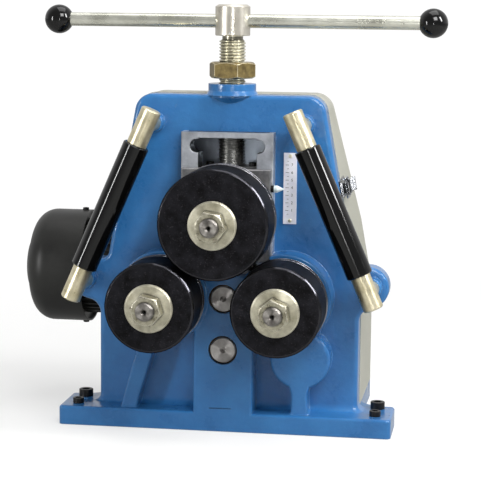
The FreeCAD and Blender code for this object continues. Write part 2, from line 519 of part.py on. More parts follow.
# Gearmotor.
def motor_parts():
    y, z = MOTOR_Y, MOTOR_Z
    half = 32.0
    house = fuse(cyl_y(0, DRIVE_Z, 50, y - half, y + half), cyl_x(y, z, 30, -58, 58),
                 box(-40, 40, y - half + 3, y + half - 3, BASE_T + 14, 140),
                 box(-62, 62, y - half + 3, y + half - 3, BASE_T, BASE_T + 14),
                 cyl_x(y, z, 48, -68, -56))
    feet = [(a, y + b) for a in (-52, 52) for b in (-21, 21)]
    house = cut(house, cyl_y(0, DRIVE_Z, 12.55, 100, 190), cyl_x(y, z, 12.6, -70, 45),
                cyl_y(0, DRIVE_Z, 34, y - 17, y + 17), *[cyl_z(a, b, 4.2, 0, 60) for a, b in feet])
    save("reducer_housing", house)
    save("reducer_bolts", *[socket_screw((a, b, BASE_T + 14), (0, 0, -1), 4.15, 14, 6.5, 8)
                            for a, b in feet])
    body = fuse(cyl_x(y, z, MOTOR_R - 3, -196, -68), cyl_x(y, z, MOTOR_R, -78, -68),
                cyl_x(y, z, COWL_R - 2, -196, -186))
    fins = []
    for k in range(40):
        fin = box(-190, -82, -1, 1, MOTOR_R - 5, MOTOR_R)
        fin.Placement = FreeCAD.Placement(V(0, y, z), FreeCAD.Rotation(V(1, 0, 0), 9 * k))
        fins.append(fin)
    body = body.multiFuse(fins).cut(cyl_x(y, z, 12.6, -200, -60))
    length, c = -182 - COWL_X, 24.0
    dome = [(0, 0), (2.2, 30)]
    for k in range(6):
        a = math.radians(90 * k / 5)
        dome.append((10.5 + c * (1 - math.cos(a)) - 2.5, COWL_R - c + c * math.sin(a)))
    inner = [(length, COWL_R), (length, COWL_R - 2), (34, COWL_R - 2), (26, COWL_R - 5),
             (14, COWL_R - 16), (6.5, 30), (5, 0)]
    cowl = spun(dome + inner, (COWL_X, y, z), (1, 0, 0))
    spots = [(math.cos(math.radians(a)), math.sin(math.radians(a))) for a in (0, 90, 180, 270)]
    holes = [Part.makeCylinder(2.1, 16, V(RIM_X, y + c * (COWL_R - 12), z + q * (COWL_R - 12)),
                               V(0, c, q)) for c, q in spots]
    save("fan_cowl", cut(cowl, *holes))
    save("cowl_screws", *[socket_screw((RIM_X, y + c * COWL_R, z + q * COWL_R), (0, -c, -q),
                                       2.0, 9, 3.6, 2.8) for c, q in spots])
    body = cut(body, *holes)
    save("motor_body", body)
    save("terminal_box", box(-135, -85, y - 24, y + 24, z - MOTOR_R - 26, z - MOTOR_R + 6)
         .cut(body).cut(cyl_x(y, z, MOTOR_R - 3, -200, -60)))
    fan = fuse(cyl_x(y, z, 14, -232, -206), cyl_x(y, z, 50, -212, -208))
    for k in range(8):
        blade = box(-230, -208, -1.2, 1.2, 12, 52)
        blade.Placement = FreeCAD.Placement(V(0, y, z), FreeCAD.Rotation(V(1, 0, 0), 45 * k))
        fan = fan.fuse(blade)
    save("motor_rotor", fuse(cyl_x(y, z, 12.5, -230, 40), fan))


# Rear cover and its latches.
def hood_solid(inset, y1, z_cut):
    """Closed form of the cover: upright in front, sloping down to the back."""
    shell = hood_prism(REAR_Y, y1, BASE_T - (3 if inset else 0), inset)
    side = prism_x([(REAR_Y - 1, 0), (y1, 0), (y1, SLOPE_Z - inset), (SLOPE_Y - inset, z_cut),
                    (REAR_Y - 1, z_cut)], -SIDE_X - 50, SIDE_X + 50)
    return shell.common(side)


def rear_cover():
    outer = hood_solid(0.0, BASE_Y, TOP_Z + 5)
    inner = hood_solid(SHEET, BASE_Y - SHEET, TOP_Z)
    inner = inner.fuse(box(-SIDE_X + SHEET, SIDE_X - SHEET, REAR_Y - 1, BASE_Y - SHEET,
                           BASE_T - 11, BASE_T + 40))
    r = MOTOR_R + 0.8
    slot = fuse(cyl_x(MOTOR_Y, MOTOR_Z, r, -SIDE_X - 15, -SIDE_X + 45),
                box(-SIDE_X - 15, -SIDE_X + 45, REAR_Y - 1, MOTOR_Y, MOTOR_Z - r, MOTOR_Z + r))
    cover = outer.cut(inner)
    cover = cover.cut(slot).cut(cyl_z(0, SCREW_Y, BOSS_R + 3.5, TOP_Z - 60, TOP_Z + 30))
    return cover.removeSplitter()


def on_side(shape, side):
    """Carry a latch part from its own axes (outward, back, up) to the cover."""
    m = FreeCAD.Placement(V(side_x(LATCH_Z), REAR_Y, LATCH_Z),
                          FreeCAD.Rotation(V(0, 1, 0), -math.degrees(SIDE_TILT)))
    out = shape.copy()
    out.Placement = m.multiply(out.Placement)
    return out if side > 0 else out.mirror(V(0, 0, 0), V(1, 0, 0))


def latch_parts():
    plate = fuse(box(0.05, 1.5, 4, 30, -11, 11), box(0.05, 8.5, 7, 14, -9.4, -7.9),
                 box(0.05, 8.5, 7, 14, 7.9, 9.4))
    plate = plate.cut(Part.makeCylinder(1.25, 30, V(6, 10.5, -15), V(0, 0, 1)))
    keeper = fuse(box(0.05, 1.5, -18, -3, -9, 9), box(0.05, 9.5, -8.2, -6.2, -6, 6),
                  box(8.0, 9.5, -12.5, -6.2, -6, 6))
    arm = Part.makeCylinder(1.2, 18.6, V(6, 10.5, -9.3), V(0, 0, 1))
    lever = fuse(arm, box(4.4, 8.2, 9.2, 19, -7.6, -6.0), box(4.4, 8.2, 9.2, 19, 6.0, 7.6),
                 box(8.2, 9.7, 9.2, 42, -7.6, 7.6),
                 box(9.7, 12.5, 38.5, 42, -7.6, 7.6))
    lever = lever.cut(Part.makeCylinder(1.05, 30, V(6.6, 16.5, -15), V(0, 0, 1)))
    rod = lambda a, b: Part.makeCylinder(1.0, (b - a).Length, a, b - a)
    bail = rod(V(6.6, 16.5, -10.6), V(6.6, 16.5, 10.6))
    for s in (-1, 1):
        bail = bail.fuse(rod(V(6.6, 16.5, 10.6 * s), V(6.6, -9.3, 10.6 * s)))
        bail = bail.fuse(Part.makeSphere(1.0, V(6.6, 16.5, 10.6 * s)))
        bail = bail.fuse(Part.makeSphere(1.0, V(6.6, -9.3, 10.6 * s)))
    bail = bail.fuse(rod(V(6.6, -9.3, -10.6), V(6.6, -9.3, 10.6)))
    plates = [on_side(s, side) for side in (-1, 1) for s in (plate, keeper)]
    save("latch_plates", *plates)
    for side, word in ((-1, "left"), (1, "right")):
        save("latch_lever_" + word, on_side(lever, side))
        save("latch_bail_" + word, on_side(bail, side))


# Build.
save("frame_casting", frame_casting())
save("rear_cover", rear_cover())
latch_parts()
slide_parts()
feed_parts()
guide_parts()
train_parts()
motor_parts()
save("top_spindle", spindle(0, TOP_Z_AXIS, BODY_Y1 + 1.5, SLIDE_Y + 1.0))
save("top_key", key_y(0, TOP_Z_AXIS, -60, -24))
spindle_set("top", 0, TOP_Z_AXIS, TOP_R, 8.0)
save("scale_plate", box(60.8, 75.3, WALL_Y - 1.2, WALL_Y, 228.9, 307.2)
     .cut(cyl_y(68.05, 232.5, 1.3, 30, 34)).cut(cyl_y(68.05, 303.6, 1.3, 30, 34)))
save("scale_rivets", *[spun([(0, 0), (0, 1.2), (0.9, 2.2), (0.9, 1.3), (2.1, 1.3), (2.1, 0)],
                            (68.05, WALL_Y - 2.1, z), (0, 1, 0)) for z in (232.5, 303.6)])
save("flange_screws", *[socket_screw((s * BOLT_X, y, BASE_T), (0, 0, -1), r, BASE_T - 0.5, hr, hh)
                        for s in (-1, 1) for y, r, hr, hh in FLANGE_BOLTS])

os.makedirs("parts", exist_ok=True)
for name, shape in NODES.items():
    shape.translate(V(0, -SCREW_Y, 0))
    if not shape.isValid():
        print("invalid", name)
    shape.exportStep("parts/%s.step" % name)
print(len(NODES), "nodes")
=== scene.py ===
"""Ring roller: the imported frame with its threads, graduations, vents, enamel and plating."""

from __future__ import annotations

import logging
import math
from dataclasses import dataclass, field
from enum import Enum
from typing import Any, Callable, Mapping, Sequence

import bmesh
import bpy
from mathutils import Matrix, Vector

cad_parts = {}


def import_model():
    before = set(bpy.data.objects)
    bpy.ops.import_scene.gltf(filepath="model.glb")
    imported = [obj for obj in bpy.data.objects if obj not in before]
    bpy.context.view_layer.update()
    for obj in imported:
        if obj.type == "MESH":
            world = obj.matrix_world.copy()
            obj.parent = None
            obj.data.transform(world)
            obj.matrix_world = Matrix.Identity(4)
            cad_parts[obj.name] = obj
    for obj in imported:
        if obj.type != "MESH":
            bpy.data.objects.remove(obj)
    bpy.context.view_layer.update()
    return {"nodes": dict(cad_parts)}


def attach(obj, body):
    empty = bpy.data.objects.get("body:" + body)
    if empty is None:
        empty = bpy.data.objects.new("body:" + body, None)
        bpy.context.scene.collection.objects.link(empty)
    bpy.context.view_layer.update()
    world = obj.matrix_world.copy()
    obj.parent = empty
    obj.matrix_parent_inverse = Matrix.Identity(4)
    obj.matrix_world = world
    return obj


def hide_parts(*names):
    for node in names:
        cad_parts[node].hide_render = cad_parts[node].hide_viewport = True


LOG = logging.getLogger("ring_roller")
MM = 0.001
SCREW_Y = 51.0
# Points closer than this, in mm, are one.
WELD = 0.002
# Faces along a small arc, and round a large smooth piece.
ARC_STEPS = 12
FINE_STEPS = 120
# A quarter turn puts the glint across the rings that the lathe leaves.
BRUSH_TURN = 0.25

Piece = bpy.types.Object
Nodes = Mapping[str, Piece]
Socket = bpy.types.NodeSocket
Tree = bpy.types.NodeTree
Pair = tuple[float, float]
Triple = tuple[float, float, float]


def place(x: float, y: float, z: float) -> Vector:
    """Turn a drawing position into scene metres.

    Args:
        x: Distance to the operator's right, in mm.
        y: Distance behind the front of the base flange, in mm.
        z: Height over the underside of the base, in mm.

    Returns:
        The point in the scene, whose Y starts at the feed screw.
    """
    return Vector((x * MM, (y - SCREW_Y) * MM, z * MM))


def linear(code: str) -> tuple[float, float, float, float]:
    """Turn an sRGB hex code into a linear colour.

    Args:
        code: Six hex digits.

    Returns:
        Red, green, blue and an alpha of 1.
    """
    parts = [int(code[i:i + 2], 16) / 255 for i in (0, 2, 4)]
    lin = [c / 12.92 if c <= 0.04045 else ((c + 0.055) / 1.055) ** 2.4 for c in parts]
    return lin[0], lin[1], lin[2], 1.0


def add_node(tree: Tree, kind: str, inputs: Mapping[Any, Any] | None = None,
             stops: Sequence[tuple[float, str]] = (), **settings: Any) -> bpy.types.Node:
    """Add one shader node.

    Args:
        tree: The material's or world's node tree.
        kind: Blender's node type name, without the ShaderNode prefix.
        inputs: Input name or index to a value or to an output socket to link.
        stops: Position and hex colour of each stop, on a colour ramp.
        settings: Attributes of the node.

    Returns:
        The new node.
    """
    node = tree.nodes.new("ShaderNode" + kind)
    for key, value in settings.items():
        setattr(node, key, value)
    for key, value in (inputs or {}).items():
        socket = node.inputs[key]
        if isinstance(value, bpy.types.NodeSocket):
            tree.links.new(value, socket)
        else:
            socket.default_value = value
    if stops:
        elements = node.color_ramp.elements
        while len(elements) < len(stops):
            elements.new(0.5)
        for element, (position, code) in zip(elements, stops):
            element.position, element.color = position, linear(code)
    return node


def inside(tree: Tree, limits: Mapping[str, Pair]) -> Socket:
    """Mark the part of a piece that lies within limits on some axes.

    Args:
        tree: The material's node tree.
        limits: Axis letter to its lowest and highest place, in drawing mm.

    Returns:
        1 inside and 0 elsewhere.
    """
    where = add_node(tree, "TexCoord").outputs["Object"]
    axes = add_node(tree, "SeparateXYZ", {"Vector": where}).outputs
    mask: Socket | None = None
    for letter, (low, high) in limits.items():
        shift = SCREW_Y if letter == "Y" else 0.0
        for limit, operation in ((low - shift, "GREATER_THAN"), (high - shift, "LESS_THAN")):
            test = add_node(tree, "Math", {0: axes[letter], 1: limit * MM}, operation=operation)
            mask = test.outputs[0] if mask is None else add_node(
                tree, "Math", {0: mask, 1: test.outputs[0]}, operation="MULTIPLY").outputs[0]
    assert mask is not None
    return mask


def off_axis(tree: Tree, centre: Triple, across: Triple) -> Socket:
    """Measure how far each point of a piece lies from an axis.

    Args:
        tree: The material's node tree.
        centre: A point of the axis, in mm from the scene's origin.
        across: 1 for the directions square to the axis and 0 along it.

    Returns:
        The distance in metres.
    """
    where = add_node(tree, "TexCoord").outputs["Object"]
    shift = add_node(tree, "VectorMath", {0: where, 1: tuple(part * MM for part in centre)},
                     operation="SUBTRACT")
    flat = add_node(tree, "VectorMath", {0: shift.outputs[0], 1: across}, operation="MULTIPLY")
    return add_node(tree, "VectorMath", {0: flat.outputs[0]}, operation="LENGTH").outputs["Value"]


def overpaint(tree: Tree, mask: Socket, tone: Socket | str) -> None:
    """Lay a colour over the material's own where a mask marks it.

    Args:
        tree: The material's node tree.
        mask: How much of the new colour shows, 0 to 1.
        tone: The new colour, as a socket or a hex code.
    """
    colour = tree.nodes["Principled BSDF"].inputs["Base Color"]
    over = linear(tone) if isinstance(tone, str) else tone
    mixed = add_node(tree, "Mix", {0: mask, 6: colour.links[0].from_socket, 7: over},
                     data_type="RGBA")
    tree.links.new(mixed.outputs[2], colour)


class Texture(Enum):
    """How a finish's surface was made, which sets its pattern."""

    CAST = "cast"
    SPRAYED = "sprayed"
    DRAWN = "drawn"
    FACED = "faced"
    MOULDED = "moulded"


@dataclass(frozen=True)
class Finish:
    """One finish: its colours, gloss and surface pattern.

    Grain is the size of the pattern in mm, bump its height in mm and stretch how
    much finer it is along each axis. The colours run over slow patches of tone.
    Edge is the radius in mm that handling and plating leave on sharp edges. A share
    of a pale colour shows along every edge and fillet, partly rubbed-bare metal and
    partly painted highlight, and a share of a dark colour lies in the creases, partly
    oil and partly painted shade, which reach as far as crease in mm.
    """

    name: str
    dark: str
    light: str
    metallic: float
    roughness: float
    texture: Texture
    grain: float = 2.0
    bump: float = 0.02
    coat: float = 0.0
    coat_rough: float = 0.06
    specular: float = 0.5
    spread: float = 0.06
    patch: float = 45.0
    stretch: Triple = (1.0, 1.0, 1.0)
    centre: Pair = (0.0, 0.0)
    edge: float = 0.5
    wear: float = 0.0
    bare: str = "D8D6CC"
    brushed: float = 0.0
    grime: float = 0.0
    oil: str = "1E1B16"
    crease: float = 3.0

    def pattern(self, tree: Tree) -> Socket:
        """Return the height pattern of the surface, 0 to 1."""
        where = add_node(tree, "TexCoord").outputs["Object"]
        if self.texture is Texture.FACED:
            shift = add_node(tree, "Mapping", {"Vector": where, "Location": (
                -self.centre[0] * MM, 0.0, -self.centre[1] * MM)})
            wave = add_node(tree, "TexWave", {
                "Vector": shift.outputs["Vector"], "Scale": math.pi / (10 * self.grain * MM),
                "Distortion": 0.6, "Detail": 1.0}, wave_type="RINGS", rings_direction="Y")
            return wave.outputs["Fac"]
        if self.texture is Texture.DRAWN:
            where = add_node(tree, "Mapping", {"Vector": where,
                                               "Scale": self.stretch}).outputs["Vector"]
        fine = add_node(tree, "TexNoise", {"Vector": where, "Scale": 1 / (self.grain * MM),
                                           "Detail": 3.0, "Roughness": 0.55}).outputs["Fac"]
        if self.texture is not Texture.CAST:
            return fine
        wavy = add_node(tree, "TexNoise", {"Vector": where, "Scale": 1 / (self.grain * 4.5 * MM),
                                           "Detail": 1.0}).outputs["Fac"]
        return add_node(tree, "Math", {0: wavy, 1: 3.0, 2: fine},
                        operation="MULTIPLY_ADD").outputs[0]

    def stains(self, tree: Tree) -> Socket:
        """Return slow patches of tone over the piece, 0 to 1."""
        where = add_node(tree, "TexCoord").outputs["Object"]
        return add_node(tree, "TexNoise", {"Vector": where, "Scale": 1 / (self.patch * MM),
                                           "Detail": 6.0, "Roughness": 0.62}).outputs["Fac"]

    def worn(self, tree: Tree, rounded: Socket) -> Socket:
        """Return how much an edge pales, as wear and as painted highlight, given the rounded normal.
        """
        flat = add_node(tree, "NewGeometry").outputs["Normal"]
        same = add_node(tree, "VectorMath", {0: rounded, 1: flat},
                        operation="DOT_PRODUCT").outputs["Value"]
        return add_node(tree, "MapRange", {"Value": same, "From Min": 0.992, "From Max": 0.90,
                                           "To Min": 0.0, "To Max": self.wear}).outputs["Result"]

    def oily(self, tree: Tree) -> Socket:
        """Return how much the creases darken, partly as oil and partly as painted shade."""
        open_share = add_node(tree, "AmbientOcclusion", {"Distance": self.crease * MM},
                              samples=8).outputs["AO"]
        return add_node(tree, "MapRange", {"Value": open_share, "From Min": 0.85,
                                           "From Max": 0.40, "To Min": 0.0,
                                           "To Max": self.grime}).outputs["Result"]

    def material(self) -> bpy.types.Material:
        """Build the material, or return the one already built."""
        known = bpy.data.materials.get(self.name)
        if known:
            return known
        mat = bpy.data.materials.new(self.name)
        mat.use_nodes = True
        tree = mat.node_tree
        shader = tree.nodes["Principled BSDF"]
        patch = self.stains(tree)
        colour = add_node(tree, "ValToRGB", {"Fac": patch},
                          [(0.34, self.dark), (0.66, self.light)]).outputs["Color"]
        tree.links.new(colour, shader.inputs["Base Color"])
        rounded = add_node(tree, "Bevel", {"Radius": self.edge * MM}, samples=6).outputs["Normal"]
        # Pale edges and fillets: partly rubbed-bare metal, partly painted highlight.
        if self.wear:
            overpaint(tree, self.worn(tree, rounded), self.bare)
        # Dark creases from ambient occlusion: partly oil, partly painted shade.
        if self.grime:
            overpaint(tree, self.oily(tree), self.oil)
        rough = add_node(tree, "MapRange", {"Value": patch, "From Min": 0.3, "From Max": 0.7,
                                            "To Min": self.roughness - self.spread,
                                            "To Max": self.roughness + self.spread})
        tree.links.new(rough.outputs["Result"], shader.inputs["Roughness"])
        bump = add_node(tree, "Bump", {"Height": self.pattern(tree), "Strength": 1.0,
                                       "Distance": self.bump * MM, "Normal": rounded})
        for socket in ("Normal", "Coat Normal"):
            tree.links.new(bump.outputs["Normal"], shader.inputs[socket])
        if self.brushed:
            lines = add_node(tree, "Tangent", direction_type="RADIAL", axis="Y")
            tree.links.new(lines.outputs["Tangent"], shader.inputs["Tangent"])
            shader.inputs["Anisotropic Rotation"].default_value = BRUSH_TURN
        for socket, value in (("Anisotropic", self.brushed), ("Metallic", self.metallic),
                              ("Specular IOR Level", self.specular), ("Coat Weight", self.coat),
                              ("Coat Roughness", self.coat_rough)):
            shader.inputs[socket].default_value = value
        self.extra(tree, shader)
        return mat

    def extra(self, tree: Tree, shader: bpy.types.Node) -> None:
        """Add what only a special finish has; nothing here."""


@dataclass(frozen=True)
class CastingEnamel(Finish):
    """Enamel on the casting, left off where the slideway is machined."""

    pad_x: float = 51.2
    pad_y: Pair = (19.0, 50.0)
    pad_z: Pair = (171.8, 329.2)
    pad_rough: float = 0.38
    pad_metal: float = 0.8
    iron: tuple[tuple[float, str], ...] = ((0.3, "868A92"), (0.5, "BCC0C8"), (0.7, "E6E9EE"))
    bore_x: float = 45.0
    bore_y: Pair = (22.0, 90.0)
    bore_tone: str = "0C0C0E"

    def extra(self, tree: Tree, shader: bpy.types.Node) -> None:
        """Bare the machined pad to milled iron and paint the walls inside the window black as painted
        shade.
        """
        mask = inside(tree, {"X": (-self.pad_x, self.pad_x), "Y": self.pad_y, "Z": self.pad_z})
        deep = inside(tree, {"X": (-self.bore_x, self.bore_x), "Y": self.bore_y,
                             "Z": self.pad_z})
        iron = add_node(tree, "ValToRGB", {"Fac": self.stains(tree)}, self.iron)
        overpaint(tree, mask, iron.outputs["Color"])
        # The window's inner walls are painted near black: painted shade.
        overpaint(tree, deep, self.bore_tone)
        rough = shader.inputs["Roughness"].links[0].from_socket
        gloss = add_node(tree, "Mix", {0: mask, 2: rough, 3: self.pad_rough}, data_type="FLOAT")
        metal = add_node(tree, "Math", {0: mask, 1: self.pad_metal}, operation="MULTIPLY")
        tree.links.new(gloss.outputs[0], shader.inputs["Roughness"])
        tree.links.new(metal.outputs[0], shader.inputs["Metallic"])


@dataclass(frozen=True)
class PittedOxide(Finish):
    """Black oxide with the small pale pits that handling leaves in it."""

    pit: float = 1.6
    pit_noise: Pair = (0.60, 0.72)
    pit_share: float = 0.22
    pit_tone: str = "6A6468"

    def extra(self, tree: Tree, shader: bpy.types.Node) -> None:
        """Speckle the colour with pits."""
        where = add_node(tree, "TexCoord").outputs["Object"]
        dots = add_node(tree, "TexNoise", {"Vector": where, "Scale": 1 / (self.pit * MM),
                                           "Detail": 2.0, "Roughness": 0.7}).outputs["Fac"]
        mask = add_node(tree, "MapRange", {"Value": dots, "From Min": self.pit_noise[0],
                                           "From Max": self.pit_noise[1], "To Min": 0.0,
                                           "To Max": self.pit_share})
        overpaint(tree, mask.outputs["Result"], self.pit_tone)


@dataclass(frozen=True)
class RollerOxide(PittedOxide):
    """Pitted oxide whose front rim is rubbed to a dark shine."""

    radius: float = 50.0
    front_y: float = -73.0
    rim: float = 2.6
    rim_tone: str = "3C3C40"
    rim_rough: float = 0.13
    side_rough: float = 0.45
    sheen: str = "505052"

    def extra(self, tree: Tree, shader: bpy.types.Node) -> None:
        """Add the pits, then polish the front rim and dull the rolling face."""
        super().extra(tree, shader)
        reach = off_axis(tree, (self.centre[0], 0.0, self.centre[1]), (1.0, 0.0, 1.0))
        outer = add_node(tree, "Math", {0: reach, 1: (self.radius - self.rim) * MM},
                         operation="GREATER_THAN").outputs[0]
        front = inside(tree, {"Y": (self.front_y - 1.0, self.front_y + self.rim)})
        rim = add_node(tree, "Math", {0: outer, 1: front}, operation="MULTIPLY").outputs[0]
        overpaint(tree, rim, self.rim_tone)
        side = add_node(tree, "Mix", {0: outer, 2: self.roughness, 3: self.side_rough},
                        data_type="FLOAT")
        gloss = add_node(tree, "Mix", {0: rim, 2: side.outputs[0], 3: self.rim_rough},
                         data_type="FLOAT")
        metal = add_node(tree, "Mix", {0: rim, 2: self.metallic, 3: 1.0}, data_type="FLOAT")
        tree.links.new(gloss.outputs[0], shader.inputs["Roughness"])
        tree.links.new(metal.outputs[0], shader.inputs["Metallic"])
        shader.inputs["Specular Tint"].default_value = linear(self.sheen)


@dataclass(frozen=True)
class GreasedThread(Finish):
    """Zinc plate on the feed screw, dark in its grooves and with grease below the boss."""

    grease_z: Pair = (200.0, 345.0)
    grease_tone: str = "A3A3A1"
    thread_z: Pair = (292.0, 432.0)
    groove: Pair = (12.9, 13.7)
    dirt: float = 0.7
    dirt_tone: str = "4A463C"

    def extra(self, tree: Tree, shader: bpy.types.Node) -> None:
        """Darken the grooves and what runs in grease."""
        reach = off_axis(tree, (0.0, 0.0, 0.0), (1.0, 1.0, 0.0))
        low, high = self.groove
        depth = add_node(tree, "MapRange", {"Value": reach, "From Min": low * MM,
                                            "From Max": high * MM, "To Min": self.dirt,
                                            "To Max": 0.0}).outputs["Result"]
        cut = add_node(tree, "Math", {0: depth, 1: inside(tree, {"Z": self.thread_z})},
                       operation="MULTIPLY").outputs[0]
        # Darker towards the bottom of each groove.
        overpaint(tree, cut, self.dirt_tone)
        overpaint(tree, inside(tree, {"Z": self.grease_z}), self.grease_tone)


@dataclass(frozen=True)
class ThreadedNose(Finish):
    """Faced steel whose nose carries a thread, drawn as dark bands of painted shade in its grooves."""

    pitch: float = 2.5
    nose: Pair = (-96.6, -70.0)
    groove_tone: str = "2A2A2A"

    def extra(self, tree: Tree, shader: bpy.types.Node) -> None:
        """Paint shade into the grooves of the thread round the nose."""
        where = add_node(tree, "TexCoord").outputs["Object"]
        groove = add_node(tree, "TexWave", {
            "Vector": where, "Scale": math.pi / (10 * self.pitch * MM)},
            wave_type="BANDS", bands_direction="Y").outputs["Fac"]
        mask = add_node(tree, "Math", {0: inside(tree, {"Y": self.nose}), 1: groove},
                        operation="MULTIPLY").outputs[0]
        overpaint(tree, mask, self.groove_tone)


# Gloss enamel brushed and sprayed on rough cast iron: wet-looking, with the casting's
# waves and small runs under it.
# Its edges and fillets pale partly with worn paint and partly as painted highlight.
BLUE_ENAMEL = CastingEnamel("machine_blue_enamel", "29629A", "3271AB", 0.0, 0.30,
                            Texture.CAST, grain=2.6, bump=0.20, coat=0.6, specular=0.2,
                            edge=1.4, wear=0.2, bare="8FB4DA")
# Satin grey-beige enamel on folded sheet steel: flat and even, with faint orange peel.
GREY_ENAMEL = Finish("cover_grey_enamel", "A2A295", "ABAA9F", 0.0, 0.42,
                     Texture.SPRAYED, grain=1.2, bump=0.02, patch=90.0)
# Galvanised sheet of the guard behind the window: bluish grey, satin.
GUARD_ZINC = Finish("galvanised_guard", "A9B2BF", "C9D2DF", 0.85, 0.40,
                    Texture.SPRAYED, grain=1.2, bump=0.02, patch=30.0)
# Satin black enamel on the motor's cast and pressed parts: dull, slightly grey.
BLACK_ENAMEL = Finish("motor_black_enamel", "1B1B1A", "282826", 0.0, 0.40,
                      Texture.SPRAYED, grain=1.4, bump=0.03, specular=0.35, edge=0.8)
# Polished black phenolic resin on knobs and sleeves: deep black with sharp lights.
BLACK_PHENOLIC = Finish("black_phenolic", "050505", "09090A", 0.0, 0.10, Texture.MOULDED,
                        grain=9.0, bump=0.006, specular=0.42, spread=0.02)
# Polished edge of the hardened rollers: mid grey steel with sharp lights.
LIP_STEEL = Finish("polished_lip_steel", "94949A", "B4B4BA", 1.0, 0.16, Texture.MOULDED,
                   grain=2.0, bump=0.004)
# Clear zinc plate on washers and nuts: pale, faintly yellow, scuffed.
# Edges pale partly as scuffs and partly as painted highlight; creases darken partly with oil and
# partly as painted shade.
PALE_ZINC = Finish("pale_zinc_plate", "A8A38D", "E0DCC8", 0.8, 0.43, Texture.MOULDED,
                   grain=1.6, bump=0.012, patch=14.0, edge=1.0, wear=0.8, bare="FFFBEA",
                   brushed=0.9, grime=0.8)
# The same plate on the nuts, darker in the corners with oil and painted shade, and pale on the edges
# where spanners have rubbed it and where highlight is painted.
NUT_ZINC = Finish("nut_zinc_plate", "847F6C", "C4BFAA", 0.8, 0.30, Texture.MOULDED,
                  grain=1.2, bump=0.02, patch=7.0, edge=1.2, wear=1.0, bare="FFFBEC",
                  grime=0.95)
# Bright zinc plate on the bar and the hub: silver with fine turning lines round them.
BRIGHT_ZINC = Finish("bright_zinc_plate", "C2C2B4", "E8E8DC", 0.9, 0.28, Texture.DRAWN,
                     grain=0.8, bump=0.006, stretch=(1.0, 0.05, 0.05))
HUB_ZINC = Finish("turned_hub_zinc", "D2CBBD", "EEEADF", 0.9, 0.30, Texture.DRAWN,
                  grain=0.8, bump=0.006, stretch=(0.05, 0.05, 1.0))
# The same plate over the cut thread, greasy where it runs in the slide.
THREAD_ZINC = GreasedThread("feed_thread_zinc", "C4C0AA", "ECE8D6", 0.9, 0.30, Texture.DRAWN,
                            grain=0.8, bump=0.006, stretch=(0.05, 0.05, 1.0))
# Yellow chromate over zinc on the guide bars: champagne with olive shade.
# Its edges pale partly with wear and partly as painted highlight.
YELLOW_ZINC = Finish("yellow_zinc_plate", "C6BC99", "EEE5C8", 0.85, 0.32, Texture.MOULDED,
                     grain=1.4, bump=0.008, patch=16.0, wear=0.4, bare="F0EBDD")
# Heavier chromate on the lock nut: olive gold, duller on the flats.
# Edges pale partly with wear and partly as painted highlight; creases darken partly with oil and
# partly as painted shade.
OLIVE_ZINC = Finish("olive_zinc_plate", "6C5D3E", "9A8858", 0.8, 0.36,
                    Texture.MOULDED, grain=1.0, bump=0.02, patch=7.0, edge=1.5, wear=1.0,
                    bare="FFF3D2", grime=0.6)
# Ground steel of gears and bearings.
GROUND_STEEL = Finish("ground_steel", "9A9A98", "C4C2BC", 1.0, 0.30,
                      Texture.DRAWN, grain=0.6, bump=0.006, stretch=(0.05, 1.0, 0.05))
# Shaft ends faced on the lathe: silver, with rings that throw a two-sided glint.
IDLER_STEEL = Finish("faced_idler_steel", "8E8A88", "BDBAB7", 1.0, 0.38, Texture.FACED,
                     grain=0.9, bump=0.012, centre=(0.0, 148.3), patch=14.0, brushed=1.0)
PINION_STEEL = Finish("faced_pinion_steel", "8E8A88", "BDBAB7", 1.0, 0.38, Texture.FACED,
                      grain=0.9, bump=0.012, centre=(0.0, 91.3), patch=14.0, brushed=1.0)
# Milled faces of the slide, with cutter marks up and down and dark oil.
# Its edges pale partly with wear and partly as painted highlight.
MILLED_STEEL = Finish("milled_steel", "6C6D71", "ACABAA", 0.85, 0.36, Texture.DRAWN,
                      grain=0.9, bump=0.012, stretch=(1.0, 1.0, 0.06), patch=18.0,
                      wear=0.5, bare="E4E4E4")
# Black oxide on socket screws, oily.
BLACK_SCREW = Finish("black_oxide_screw", "0C0C0D", "19191A", 0.4, 0.36, Texture.MOULDED,
                     grain=1.5, bump=0.02)
# Sand-cast alloy of the reducer.
ALLOY = Finish("sand_cast_alloy", "8C8E91", "A7A9AB", 0.7, 0.50, Texture.CAST,
               grain=1.2, bump=0.05)
# Sintered bronze bushes, black with oil.
BRONZE = Finish("oiled_bearing_bronze", "241F19", "3A3127", 1.0, 0.36, Texture.DRAWN,
                grain=0.8, bump=0.006, stretch=(0.05, 1.0, 0.05))
# Anodised aluminium of the scale: pale lilac grey, satin.
ANODISED = Finish("anodised_scale_plate", "ECECF8", "F8F8FF", 0.0, 0.42, Texture.DRAWN,
                  grain=0.6, bump=0.004, stretch=(1.0, 1.0, 0.1), patch=8.0)
# Paint filled into the engraved marks.
MARK_PAINT = Finish("engraving_paint", "26262C", "34343C", 0.0, 0.6, Texture.MOULDED,
                    grain=1.0, bump=0.002)
# White moulded pointer.
POINTER_WHITE = Finish("white_nylon_pointer", "CFE2E6", "E8F4F5", 0.0, 0.35,
                       Texture.MOULDED, grain=2.0, bump=0.01)
# Nickel plate on pressed latches: bright, slightly dished.
NICKELLED = Finish("nickelled_latch_steel", "85878B", "C4C6C9", 1.0, 0.16, Texture.MOULDED,
                   grain=4.0, bump=0.04, patch=5.0)


